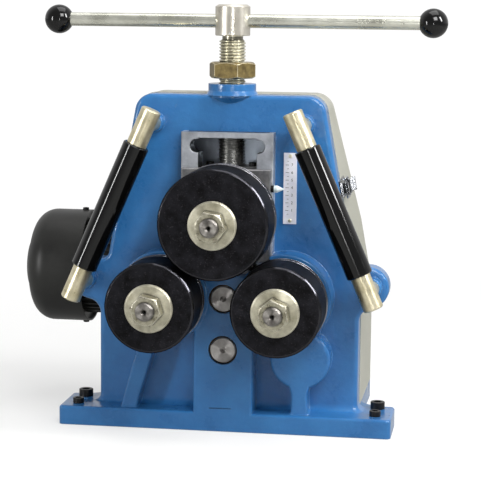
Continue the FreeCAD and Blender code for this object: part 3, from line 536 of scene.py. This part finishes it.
def roller_oxide(prefix: str, x: float, z: float, radius: float) -> RollerOxide:
    """Return the black oxide on one roller's hardened, turned steel.

    Args:
        prefix: The roller's name, which the material's name starts with.
        x: The axis's place to the right, in mm.
        z: The axis's height, in mm.
        radius: The roller's radius, in mm.

    Returns:
        The finish: near black, with a soft sheen, pale pits and a polished rim.
    """
    return RollerOxide(prefix + "_black_oxide", "151516", "26262A", 0.5, 0.30, Texture.MOULDED,
                       grain=1.1, bump=0.012, specular=0.3, patch=14.0, centre=(x, z),
                       edge=2.4, radius=radius)


def nose_steel(prefix: str, x: float, z: float) -> ThreadedNose:
    """Return the faced and threaded steel of one spindle.

    Args:
        prefix: The spindle's name, which the material's name starts with.
        x: The axis's place to the right, in mm.
        z: The axis's height, in mm.

    Returns:
        The finish, with its rings round that axis.
    """
    # Creases darken partly with oil and partly as painted shade.
    return ThreadedNose(prefix + "_nose_steel", "6E6A66", "ADA9A3", 1.0, 0.42, Texture.FACED,
                        grain=1.3, bump=0.05, centre=(x, z), patch=7.0, brushed=0.9,
                        grime=0.95)


def let_go() -> None:
    """Leave edit mode and select nothing."""
    if bpy.context.object and bpy.context.object.mode != "OBJECT":
        bpy.ops.object.mode_set(mode="OBJECT")
    bpy.ops.object.select_all(action="DESELECT")


def take(*pieces: Piece) -> None:
    """Select only these pieces, the first one active."""
    let_go()
    for piece in pieces:
        piece.select_set(True)
    bpy.context.view_layer.objects.active = pieces[0]


def edit(piece: Piece) -> None:
    """Open one piece in edit mode, all of it selected."""
    take(piece)
    bpy.ops.object.mode_set(mode="EDIT")
    bpy.ops.mesh.select_all(action="SELECT")


def sheet(name: str, size: float) -> Piece:
    """Add a square sheet at the origin and open it in edit mode.

    Args:
        name: The new piece's name.
        size: The length of its sides, in metres.

    Returns:
        The piece, left open with all of it selected.
    """
    let_go()
    bpy.ops.mesh.primitive_plane_add(size=size)
    piece = bpy.context.object
    piece.name = name
    edit(piece)
    return piece


def bake(piece: Piece) -> None:
    """Write a piece's place and turn into its mesh."""
    take(piece)
    bpy.ops.object.transform_apply(location=True, rotation=True, scale=True)


def choose(piece: Piece, test: Callable[[Any], bool], kind: str = "VERT") -> None:
    """Select, in edit mode, only what passes a test.

    Args:
        piece: The piece that is open.
        test: Takes a vertex, an edge or a face.
        kind: VERT, EDGE or FACE.
    """
    bpy.ops.mesh.select_mode(type=kind)
    bpy.ops.mesh.select_all(action="DESELECT")
    mesh = bmesh.from_edit_mesh(piece.data)
    for item in {"VERT": mesh.verts, "EDGE": mesh.edges, "FACE": mesh.faces}[kind]:
        if test(item):
            item.select_set(True)
    bmesh.update_edit_mesh(piece.data)


def tidy() -> None:
    """Merge doubles and point every face outwards, in edit mode."""
    bpy.ops.mesh.select_all(action="SELECT")
    bpy.ops.mesh.remove_doubles(threshold=WELD * MM)
    bpy.ops.mesh.normals_make_consistent(inside=False)


def outline(name: str, points: Sequence[Pair]) -> Piece:
    """Draw an open line in the XZ plane, point by point.

    Args:
        name: The new piece's name.
        points: Place along X and height along Z of each point, in mm.

    Returns:
        The piece, left open in edit mode with the last point selected.
    """
    piece = sheet(name, MM)
    choose(piece, lambda vert: vert.index > 0)
    bpy.ops.mesh.delete(type="VERT")
    bpy.ops.mesh.select_all(action="SELECT")
    mesh = bmesh.from_edit_mesh(piece.data)
    mesh.verts.ensure_lookup_table()
    first = Vector((points[0][0], 0.0, points[0][1])) * MM
    bpy.ops.transform.translate(value=first - mesh.verts[0].co)
    for (x0, z0), (x1, z1) in zip(points, points[1:]):
        step = ((x1 - x0) * MM, 0.0, (z1 - z0) * MM)
        bpy.ops.mesh.extrude_vertices_move(TRANSFORM_OT_translate={"value": step})
    return piece


def turned(name: str, profile: Sequence[Pair], steps: int = 72) -> Piece:
    """Turn a profile round the Z axis, as on a lathe.

    Args:
        name: The new piece's name.
        profile: Radius and height of each corner, in mm, both ends on the axis.
        steps: Faces round the axis.

    Returns:
        The closed piece, standing on the origin.
    """
    piece = outline(name, profile)
    bpy.ops.mesh.select_all(action="SELECT")
    bpy.ops.mesh.spin(steps=steps, angle=math.tau, center=(0.0, 0.0, 0.0),
                      axis=(0.0, 0.0, 1.0))
    tidy()
    let_go()
    return piece


def wound_thread(name: str, root: float, crest: float, pitch: float, low: float, high: float) -> Piece:
    """Wind a right-hand thread round the Z axis.

    Args:
        name: The new piece's name.
        root: Radius at the bottom of the groove, in mm.
        crest: Radius of the crest, in mm.
        pitch: Rise of one turn, in mm.
        low: Height of the lower end, in mm.
        high: Height of the upper end, in mm.

    Returns:
        The thread, cut flat and closed at both ends.
    """
    start, round_off = low - 1.5 * pitch, 0.1
    corners = [(root, 0.0), (crest - round_off, 0.40), (crest, 0.44), (crest, 0.53),
               (crest - round_off, 0.57), (root, 0.97), (root, 1.0)]
    piece = outline(name, [(radius, start + share * pitch) for radius, share in corners])
    take(piece)
    wind = piece.modifiers.new("wind", "SCREW")
    wind.angle, wind.screw_offset = math.tau, pitch * MM
    wind.iterations = math.ceil((high - low) / pitch) + 3
    wind.steps = wind.render_steps = 40
    bpy.ops.object.modifier_apply(modifier="wind")
    edit(piece)
    bpy.ops.mesh.remove_doubles(threshold=WELD * MM)
    for height, cut_low in ((low, True), (high, False)):
        bpy.ops.mesh.select_all(action="SELECT")
        bpy.ops.mesh.bisect(plane_co=(0.0, 0.0, height * MM), plane_no=(0.0, 0.0, 1.0),
                            use_fill=True, clear_inner=cut_low, clear_outer=not cut_low)
    tidy()
    let_go()
    return piece


def slab(name: str, low: Triple, high: Triple,
         edge: float) -> Piece:
    """Pull a rectangle out into a slab and break its edges.

    Args:
        name: The new piece's name.
        low: Lowest corner, in drawing mm.
        high: Highest corner, in drawing mm.
        edge: Width of the broken edges, in mm; 0 leaves them sharp.

    Returns:
        The slab, in its place.
    """
    size = Vector(high) - Vector(low)
    piece = sheet(name, 1.0)
    bpy.ops.transform.resize(value=(size.x * MM, size.y * MM, 1.0))
    bpy.ops.transform.translate(value=place(*low) + Vector((size.x, size.y, 0.0)) * MM / 2)
    bpy.ops.mesh.extrude_region_move(
        TRANSFORM_OT_translate={"value": (0.0, 0.0, size.z * MM)})
    tidy()
    if edge:
        bpy.ops.mesh.bevel(offset=edge * MM, segments=2, affect="EDGES")
    let_go()
    return piece


def settle(piece: Piece, at: Triple = (0.0, SCREW_Y, 0.0),
           axis: Triple = (0.0, 0.0, 1.0)) -> None:
    """Carry a piece to its place and leave its object at the origin.

    Args:
        piece: The piece, modelled round the Z axis at the origin.
        at: Where its origin goes, in drawing mm.
        axis: Where its Z axis points.
    """
    turn = Vector((0.0, 0.0, 1.0)).rotation_difference(Vector(axis))
    piece.matrix_world = Matrix.Translation(place(*at)) @ turn.to_matrix().to_4x4()
    bake(piece)


def join(name: str, *pieces: Piece) -> Piece:
    """Join pieces into one and name it."""
    take(*pieces)
    bpy.ops.object.join()
    bpy.context.object.name = name
    return bpy.context.object


def traced(name: str, node: Piece) -> Piece:
    """Copy a node's mesh to model on, its loose triangles merged.

    Args:
        name: The new piece's name.
        node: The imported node.

    Returns:
        The copy, which has no material yet.
    """
    let_go()
    piece = bpy.data.objects.new(name, node.data.copy())
    bpy.context.scene.collection.objects.link(piece)
    piece.data.materials.clear()
    edit(piece)
    bpy.ops.mesh.remove_doubles(threshold=WELD / 4 * MM)
    let_go()
    return piece


def soften(piece: Piece, degrees: float = 32.0) -> None:
    """Shade a piece smooth except at its sharp edges."""
    take(piece)
    bpy.ops.object.shade_smooth_by_angle(angle=math.radians(degrees))
    let_go()


class SubAssembly:
    """A group of pieces that belong together on the machine."""

    def finishes(self) -> dict[str, Finish]:
        """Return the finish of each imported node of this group."""
        return {}

    def build(self, nodes: Nodes) -> None:
        """Model this group's own pieces; none here."""

    def dress(self, nodes: Nodes) -> None:
        """Give this group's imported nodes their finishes.

        Args:
            nodes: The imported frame's objects by node name.
        """
        for name, finish in self.finishes().items():
            for slot in nodes[name].material_slots:
                slot.material = finish.material()
            LOG.info("dressed %s with %s", name, finish.name)

    def fit(self, piece: Piece, body: str, slot: str, finish: Finish,
            replaced: Sequence[str] = ()) -> None:
        """Finish a new piece and let it ride on its body.

        Args:
            piece: The new piece, in its place.
            body: The body it moves with.
            slot: The name of a material slot; not used.
            finish: Its finish.
            replaced: Nodes that it stands for.
        """
        piece.data.materials.clear()
        piece.data.materials.append(finish.material())
        soften(piece)
        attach(piece, body)
        if replaced:
            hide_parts(*replaced)
        LOG.info("built %s on %s, %d faces", piece.name, body, len(piece.data.polygons))


@dataclass
class Casting(SubAssembly):
    """The cast frame with its flange screws and shaft bushes."""

    def finishes(self) -> dict[str, Finish]:
        """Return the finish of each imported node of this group."""
        return {"frame_casting": BLUE_ENAMEL, "flange_screws": BLACK_SCREW,
                "shaft_bushes": BRONZE}


@dataclass
class GuideRolls(SubAssembly):
    """The two sloping guide bars with their black sleeves."""

    def finishes(self) -> dict[str, Finish]:
        """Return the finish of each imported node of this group."""
        return {"guide_bars": YELLOW_ZINC, "guide_studs": YELLOW_ZINC,
                "guide_sleeve_left": BLACK_PHENOLIC, "guide_sleeve_right": BLACK_PHENOLIC}


@dataclass
class Slide(SubAssembly):
    """The slide that carries the top spindle, its pointer and the guard behind its window."""

    guard_x: float = 50.0
    guard_y: Pair = (77.0, 78.5)
    guard_z: Pair = (206.0, 340.0)
    guard_edge: float = 0.5

    def finishes(self) -> dict[str, Finish]:
        """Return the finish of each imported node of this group."""
        return {"slide_block": MILLED_STEEL, "slide_keepers": MILLED_STEEL,
                "screw_retainer": MILLED_STEEL, "slide_screws": BLACK_SCREW,
                "slide_bearings": GROUND_STEEL, "pointer_screw": BLACK_SCREW,
                "pointer": POINTER_WHITE}

    def build(self, nodes: Nodes) -> None:
        """Cut the flat guard that closes the gear space behind the window."""
        guard = slab("window_guard", (-self.guard_x, self.guard_y[0], self.guard_z[0]),
                     (self.guard_x, self.guard_y[1], self.guard_z[1]), self.guard_edge)
        self.fit(guard, "frame", "machined_steel", GUARD_ZINC)


@dataclass
class FeedScrew(SubAssembly):
    """The threaded feed screw with its hub, handle and lock nut."""

    crest: float = 14.8
    root: float = 12.75
    pitch: float = 3.5
    head: Pair = (274.0, 283.9)
    head_r: float = 15.0
    head_edge: float = 1.0
    neck_r: float = 10.0
    bury: float = 0.05
    run_in: float = 0.4
    run_out: float = 1.6
    shank_r: float = 11.4
    stub_r: float = 9.0
    stub: float = 5.0
    thread: Pair = (292.0, 427.6)
    hub_low: float = 433.0

    def finishes(self) -> dict[str, Finish]:
        """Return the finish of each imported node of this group."""
        return {"feed_screw": THREAD_ZINC, "handle_hub": HUB_ZINC, "hub_pin": GROUND_STEEL,
                "tee_bar": BRIGHT_ZINC, "ball_knobs": BLACK_PHENOLIC, "lock_nut": OLIVE_ZINC}

    def build(self, nodes: Nodes) -> None:
        """Model the screw with its thread wound round the core."""
        low, high = self.thread
        foot, collar = self.head
        core_r, stub_top = self.root + self.bury, self.hub_low + self.stub
        core = turned("feed_core", [
            (0.0, foot), (self.head_r - self.head_edge, foot),
            (self.head_r, foot + self.head_edge), (self.head_r, collar), (self.neck_r, collar),
            (self.neck_r, low - self.run_in), (core_r, low - self.run_in),
            (core_r, high + self.run_in), (self.shank_r, high + self.run_out),
            (self.shank_r, self.hub_low), (self.stub_r, self.hub_low),
            (self.stub_r, stub_top), (0.0, stub_top)])
        wound = wound_thread("feed_winding", self.root, self.crest, self.pitch, low, high)
        screw = join("feed_screw_threaded", core, wound)
        settle(screw)
        self.fit(screw, "screw", "zinc", THREAD_ZINC, ["feed_screw"])


@dataclass
class RollerStation(SubAssembly):
    """One spindle with its roller, washer, nut and key."""

    prefix: str
    x: float
    z: float
    radius: float
    keys: str
    lips: Pair = (-20.5, -11.2)
    lip_r: float = 0.55
    lip_proud: float = 0.4

    def finishes(self) -> dict[str, Finish]:
        """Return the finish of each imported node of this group."""
        return {self.prefix + "_spindle": nose_steel(self.prefix, self.x, self.z),
                self.prefix + "_roller": roller_oxide(self.prefix, self.x, self.z, self.radius),
                self.prefix + "_washer": PALE_ZINC, self.prefix + "_nut": NUT_ZINC,
                self.keys: MILLED_STEEL}

    def build(self, nodes: Nodes) -> None:
        """Raise the two thin bright lips round the back of the roller."""
        middle = self.radius - self.lip_r + self.lip_proud
        corners = [(middle + self.lip_r * math.cos(turn), self.lip_r * math.sin(turn))
                   for turn in (math.radians(-90 + 180 / ARC_STEPS * step)
                                for step in range(ARC_STEPS + 1))]
        lip = turned(self.prefix + "_lip", [corners[-1], *corners], FINE_STEPS)
        settle(lip, (self.x, self.lips[0], self.z), (0.0, 1.0, 0.0))
        other = lip.copy()
        other.data = lip.data.copy()
        bpy.context.scene.collection.objects.link(other)
        other.location.y = (self.lips[1] - self.lips[0]) * MM
        bake(other)
        lips = join(self.prefix + "_roller_lips", lip, other)
        self.fit(lips, self.prefix + "_roll", "black_oxide", LIP_STEEL)


@dataclass
class GearTrain(SubAssembly):
    """The gears behind the casting, their carrier and bearings."""

    def finishes(self) -> dict[str, Finish]:
        """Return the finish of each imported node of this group."""
        return {"low_left_gear": GROUND_STEEL, "low_right_gear": GROUND_STEEL,
                "idler_gear": IDLER_STEEL, "drive_pinion": PINION_STEEL,
                "spindle_bearings": GROUND_STEEL, "carrier_plate": MILLED_STEEL,
                "carrier_spacers": MILLED_STEEL, "carrier_screws": BLACK_SCREW}


@dataclass
class GearMotor(SubAssembly):
    """The reducer and its motor, with air slots through the end of the fan cowl."""

    y: float = 149.0
    z: float = 157.3
    end_x: float = -256.5
    radius: float = 66.0
    corner: float = 24.0
    length: float = 74.5
    slots: int = 16
    slot_width: float = 3.2
    slot_r: Pair = (11.0, 29.0)
    slot_cut: Pair = (-2.0, 17.0)
    slot_round: float = 0.42
    crown: tuple[Pair, ...] = ((0.0, 0.0), (18.0, 1.0), (30.0, 2.2))
    shoulder: float = 8.0
    wall: float = 2.0
    hollow: tuple[Pair, ...] = ((0.0, 34.0), (3.0, 26.0), (14.0, 14.0))
    end_wall: Pair = (6.5, 5.0)

    def finishes(self) -> dict[str, Finish]:
        """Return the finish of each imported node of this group."""
        return {"reducer_housing": ALLOY, "reducer_bolts": PALE_ZINC,
                "motor_body": BLACK_ENAMEL, "fan_cowl": BLACK_ENAMEL,
                "cowl_screws": BLACK_SCREW, "terminal_box": BLACK_ENAMEL,
                "motor_rotor": GROUND_STEEL}

    def cutter(self) -> Piece:
        """Return the ring of slot cutters, standing on the cowl's end."""
        (low, high), (start, end) = self.slot_r, self.slot_cut
        blades = []
        for number in range(self.slots):
            blade = slab("blade", (-self.slot_width / 2, SCREW_Y + low, start),
                         (self.slot_width / 2, SCREW_Y + high, end), 0.0)
            edit(blade)
            choose(blade, lambda line: abs((line.verts[0].co - line.verts[1].co).z) > 10 * MM,
                   "EDGE")
            bpy.ops.mesh.bevel(offset=self.slot_width * self.slot_round * MM, segments=3,
                               affect="EDGES")
            let_go()
            blade.rotation_euler.z = math.tau * number / self.slots
            bake(blade)
            blades.append(blade)
        ring = join("slot_cutters", *blades)
        settle(ring, (self.end_x, self.y, self.z), (1.0, 0.0, 0.0))
        return ring

    def shell(self) -> Piece:
        """Return the pressed cowl before its slots are cut, standing on its end."""
        arc = [(self.radius - self.corner * (1 - math.sin(turn)),
                self.shoulder + self.corner * (1 - math.cos(turn)))
               for turn in (math.radians(90 / ARC_STEPS * step)
                            for step in range(ARC_STEPS + 1))]
        inner_r = self.radius - self.wall
        inner = [(inner_r, self.length), *((inner_r - step, z) for step, z in self.hollow),
                 (self.crown[-1][0], self.end_wall[0]), (0.0, self.end_wall[1])]
        cowl = turned("slotted_fan_cowl", [*self.crown, *arc, (self.radius, self.length), *inner],
                      FINE_STEPS)
        settle(cowl, (self.end_x, self.y, self.z), (1.0, 0.0, 0.0))
        return cowl

    def build(self, nodes: Nodes) -> None:
        """Press the cowl and cut its air slots."""
        cowl, cutter = self.shell(), self.cutter()
        take(cowl)
        vents = cowl.modifiers.new("vents", "BOOLEAN")
        vents.operation, vents.object, vents.solver = "DIFFERENCE", cutter, "EXACT"
        bpy.ops.object.modifier_apply(modifier="vents")
        bpy.data.objects.remove(cutter)
        edit(cowl)
        tidy()
        self.fit(cowl, "frame", "motor_black", BLACK_ENAMEL, ["fan_cowl"])


@dataclass
class RearCover(SubAssembly):
    """The sheet cover, its rolled front edge and its two draw latches."""

    front_y: float = 58.0
    hem: float = 3.0
    proud: float = 0.8

    def finishes(self) -> dict[str, Finish]:
        """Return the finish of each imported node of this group."""
        names = ["latch_plates"] + ["latch_%s_%s" % (part, side) for part in ("lever", "bail")
                                    for side in ("left", "right")]
        return {"rear_cover": GREY_ENAMEL, **{name: NICKELLED for name in names}}

    def build(self, nodes: Nodes) -> None:
        """Roll the front edge of the sheet into a hem."""
        hem = traced("cover_hem", nodes["rear_cover"])
        edit(hem)
        bpy.ops.mesh.bisect(plane_co=place(0.0, self.front_y + self.hem, 0.0),
                            plane_no=(0.0, 1.0, 0.0), use_fill=True, clear_outer=True)
        tidy()
        bpy.ops.transform.shrink_fatten(value=self.proud * MM)
        let_go()
        self.fit(hem, "frame", "grey_paint", GREY_ENAMEL)


@dataclass
class ScalePlate(SubAssembly):
    """The engraved scale that the pointer reads on."""

    face_y: float = 31.8
    marks: int = 7
    first_z: float = 243.9
    gap: float = 8.33
    mark_x: Pair = (63.0, 66.6)
    mark_w: float = 0.45
    mark_proud: float = 0.02
    short_share: float = 0.55
    digit_x: float = 70.2
    digit_h: float = 3.4
    type_share: float = 1.3
    depth: float = 0.04

    def finishes(self) -> dict[str, Finish]:
        """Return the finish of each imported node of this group."""
        return {"scale_plate": ANODISED, "scale_rivets": PALE_ZINC}

    def line(self, name: str, z: float, length: float, count: int, gap: float) -> Piece:
        """Draw a row of equal marks, one modelled and the rest copied.

        Args:
            name: The row's name.
            z: Height of the lowest mark, in mm.
            length: Length of a mark, in mm.
            count: Number of marks.
            gap: Distance from mark to mark, in mm.

        Returns:
            The row.
        """
        right = self.mark_x[1]
        row = slab(name, (right - length, self.face_y - self.depth, z - self.mark_w / 2),
                   (right, self.face_y + self.mark_proud, z + self.mark_w / 2), 0.0)
        take(row)
        copies = row.modifiers.new("copies", "ARRAY")
        copies.count, copies.use_relative_offset = count, False
        copies.use_constant_offset = True
        copies.constant_offset_displace = (0.0, 0.0, gap * MM)
        bpy.ops.object.modifier_apply(modifier="copies")
        return row

    def digit(self, number: int, z: float) -> Piece:
        """Return one plain figure, facing the operator."""
        let_go()
        bpy.ops.object.text_add(location=place(self.digit_x, self.face_y, z),
                                rotation=(math.pi / 2, 0.0, 0.0))
        text = bpy.context.object
        text.data.body, text.data.size = str(number), self.digit_h * self.type_share * MM
        text.data.align_x, text.data.align_y = "CENTER", "CENTER"
        text.data.extrude = self.depth * MM
        take(text)
        bpy.ops.object.convert(target="MESH")
        bake(bpy.context.object)
        return bpy.context.object

    def build(self, nodes: Nodes) -> None:
        """Engrave the long marks, the short marks between them and the figures."""
        length = self.mark_x[1] - self.mark_x[0]
        rows = [self.line("long_marks", self.first_z, length, self.marks, self.gap),
                self.line("short_marks", self.first_z - self.gap / 2, length * self.short_share,
                          self.marks + 1, self.gap)]
        digits = [self.digit(k + 1, self.first_z + k * self.gap) for k in range(self.marks)]
        marks = join("scale_marks", *rows, *digits)
        self.fit(marks, "frame", "black_screws", MARK_PAINT)


@dataclass
class Studio:
    """Camera, pale floor and soft light."""

    focal_px: float = 1772.4
    image_px: float = 481.0
    eye: Triple = (312.5, -1881.4, 483.5)
    yaw: float = 8.875
    pitch: float = 8.069
    roll: float = -0.534
    sensor_mm: float = 36.0
    target: Triple = (0.0, -0.07, 0.22)
    floor_size: float = 400.0
    floor_z: float = -0.0005
    floor_seen: str = "F2F2F0"
    floor_bounce: str = "9C9C99"
    floor_glow: float = 1.03
    floor_mirror: float = 0.24
    shadow_m: Pair = (0.35, 1.1)
    shadow_share: Pair = (0.55, 1.0)
    room_light: float = 0.36
    room_seen: float = 1.02
    room_y: Pair = (-0.35, 0.25)
    room_mirror: Pair = (0.30, 0.75)
    lamps: list[tuple[str, Triple, Pair, float]] = field(
        default_factory=lambda: [
            ("left_strip", (-1.81, -1.62, 0.57), (0.16, 1.0), 18.0),
            ("right_strip", (1.72, -0.53, 1.33), (0.30, 1.0), 32.0),
            ("front_strip", (0.42, -2.45, 0.34), (0.12, 0.5), 4.0),
            ("key_box", (0.6, -1.0, 1.25), (0.6, 0.6), 14.0),
            ("top_box", (0.3, 0.1, 2.4), (1.6, 1.6), 20.0)])

    def camera(self) -> None:
        """Set the camera where the picture was taken from."""
        data = bpy.data.cameras.new("camera")
        data.sensor_width = self.sensor_mm
        data.lens = self.focal_px / self.image_px * data.sensor_width
        cam = bpy.data.objects.new("camera", data)
        bpy.context.scene.collection.objects.link(cam)
        yaw, pitch, roll = (math.radians(a) for a in (self.yaw, self.pitch, self.roll))
        ahead = Vector((-math.sin(yaw) * math.cos(pitch), math.cos(yaw) * math.cos(pitch),
                        -math.sin(pitch)))
        right = Vector((math.cos(yaw), math.sin(yaw), 0.0))
        up = right.cross(ahead)
        side = math.cos(roll) * right - math.sin(roll) * up
        top = math.sin(roll) * right + math.cos(roll) * up
        turn = Matrix((side, top, -ahead)).transposed().to_4x4()
        cam.matrix_world = Matrix.Translation(place(*self.eye)) @ turn
        bpy.context.scene.camera = cam

    def lamp(self, name: str, at: Triple, size: Pair,
             power: float) -> None:
        """Add one softbox that faces the machine.

        Args:
            name: The lamp's name.
            at: Its place in metres.
            size: Its width and height, in metres.
            power: Its power in watts.
        """
        data = bpy.data.lights.new(name, "AREA")
        data.shape, data.size, data.size_y, data.energy = "RECTANGLE", *size, power
        lamp = bpy.data.objects.new(name, data)
        lamp.location = at
        aim = Vector(self.target) - Vector(at)
        lamp.rotation_euler = aim.to_track_quat("-Z", "Y").to_euler()
        bpy.context.scene.collection.objects.link(lamp)

    def mirrored(self, path: Mapping[str, Socket], tree: Tree) -> Socket:
        """Return 1 for light that reaches the floor or the room by way of a shiny piece."""
        return add_node(tree, "Math", {0: path["Is Glossy Ray"], 1: path["Is Transmission Ray"]},
                        operation="MAXIMUM").outputs[0]

    def floor(self) -> None:
        """Lay the pale floor, which shows white except in the machine's shadow."""
        let_go()
        bpy.ops.mesh.primitive_plane_add(size=self.floor_size,
                                         location=(0.0, 0.0, self.floor_z))
        ground = bpy.context.object
        ground.name = "floor"
        mat = bpy.data.materials.new("pale_floor")
        mat.use_nodes = True
        tree = mat.node_tree
        pale = tree.nodes["Principled BSDF"]
        pale.inputs["Roughness"].default_value = 0.9
        glow = add_node(tree, "Emission", {"Color": linear("FFFFFF"),
                                           "Strength": self.floor_glow})
        path = add_node(tree, "LightPath").outputs
        tone = add_node(tree, "Mix", {0: path["Is Camera Ray"], 6: linear(self.floor_bounce),
                                      7: linear(self.floor_seen)}, data_type="RGBA")
        tree.links.new(tone.outputs[2], pale.inputs["Base Color"])
        where = add_node(tree, "TexCoord").outputs["Object"]
        away = add_node(tree, "VectorMath", {0: where}, operation="LENGTH").outputs["Value"]
        (near, far), (least, most) = self.shadow_m, self.shadow_share
        seen = add_node(tree, "MapRange", {"Value": away, "From Min": near, "From Max": far,
                                           "To Min": least, "To Max": most}).outputs["Result"]
        half = add_node(tree, "Math", {0: self.mirrored(path, tree), 1: self.floor_mirror},
                        operation="MULTIPLY")
        share = add_node(tree, "Math", {0: path["Is Camera Ray"], 1: seen,
                                        2: half.outputs[0]}, operation="MULTIPLY_ADD")
        mix = add_node(tree, "MixShader", {0: share.outputs[0], 1: pale.outputs[0],
                                           2: glow.outputs[0]})
        tree.links.new(mix.outputs[0], tree.nodes["Material Output"].inputs["Surface"])
        ground.data.materials.append(mat)

    def world(self) -> None:
        """Fill the room with plain light: white behind the object, dimmer in front."""
        world = bpy.data.worlds.new("room")
        bpy.context.scene.world = world
        world.use_nodes = True
        tree = world.node_tree
        path = add_node(tree, "LightPath").outputs
        ray = add_node(tree, "SeparateXYZ", {"Vector": add_node(tree, "TexCoord").outputs[
            "Generated"]}).outputs["Y"]
        (front, rear), (dim, bright) = self.room_y, self.room_mirror
        backdrop = add_node(tree, "MapRange", {"Value": ray, "From Min": front, "From Max": rear,
                                               "To Min": dim, "To Max": bright})
        level = add_node(tree, "Mix", {0: self.mirrored(path, tree), 2: self.room_light,
                                       3: backdrop.outputs[0]}, data_type="FLOAT")
        level = add_node(tree, "Mix", {0: path["Is Camera Ray"], 2: level.outputs[0],
                                       3: self.room_seen}, data_type="FLOAT")
        back = tree.nodes["Background"]
        back.inputs["Color"].default_value = linear("FFFFFF")
        tree.links.new(level.outputs[0], back.inputs["Strength"])

    def build(self) -> None:
        """Set up the whole studio."""
        bpy.context.scene.view_settings.view_transform = "Standard"
        self.camera()
        self.floor()
        self.world()
        for name, at, size, power in self.lamps:
            self.lamp(name, at, size, power)


def main() -> None:
    """Load the frame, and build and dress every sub-assembly."""
    logging.basicConfig(level=logging.INFO, format="%(message)s")
    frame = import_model()
    nodes = frame["nodes"]
    Studio().build()
    for group in (Casting(), GuideRolls(), Slide(), FeedScrew(),
                  RollerStation("top", 0.0, 238.6, 59.2, "top_key"),
                  RollerStation("low_left", -67.5, 148.3, 48.5, "low_left_keys"),
                  RollerStation("low_right", 67.5, 148.3, 48.5, "low_right_keys"),
                  GearTrain(), GearMotor(), RearCover(), ScalePlate()):
        group.build(nodes)
        group.dress(nodes)


if __name__ == "__main__":
    main()
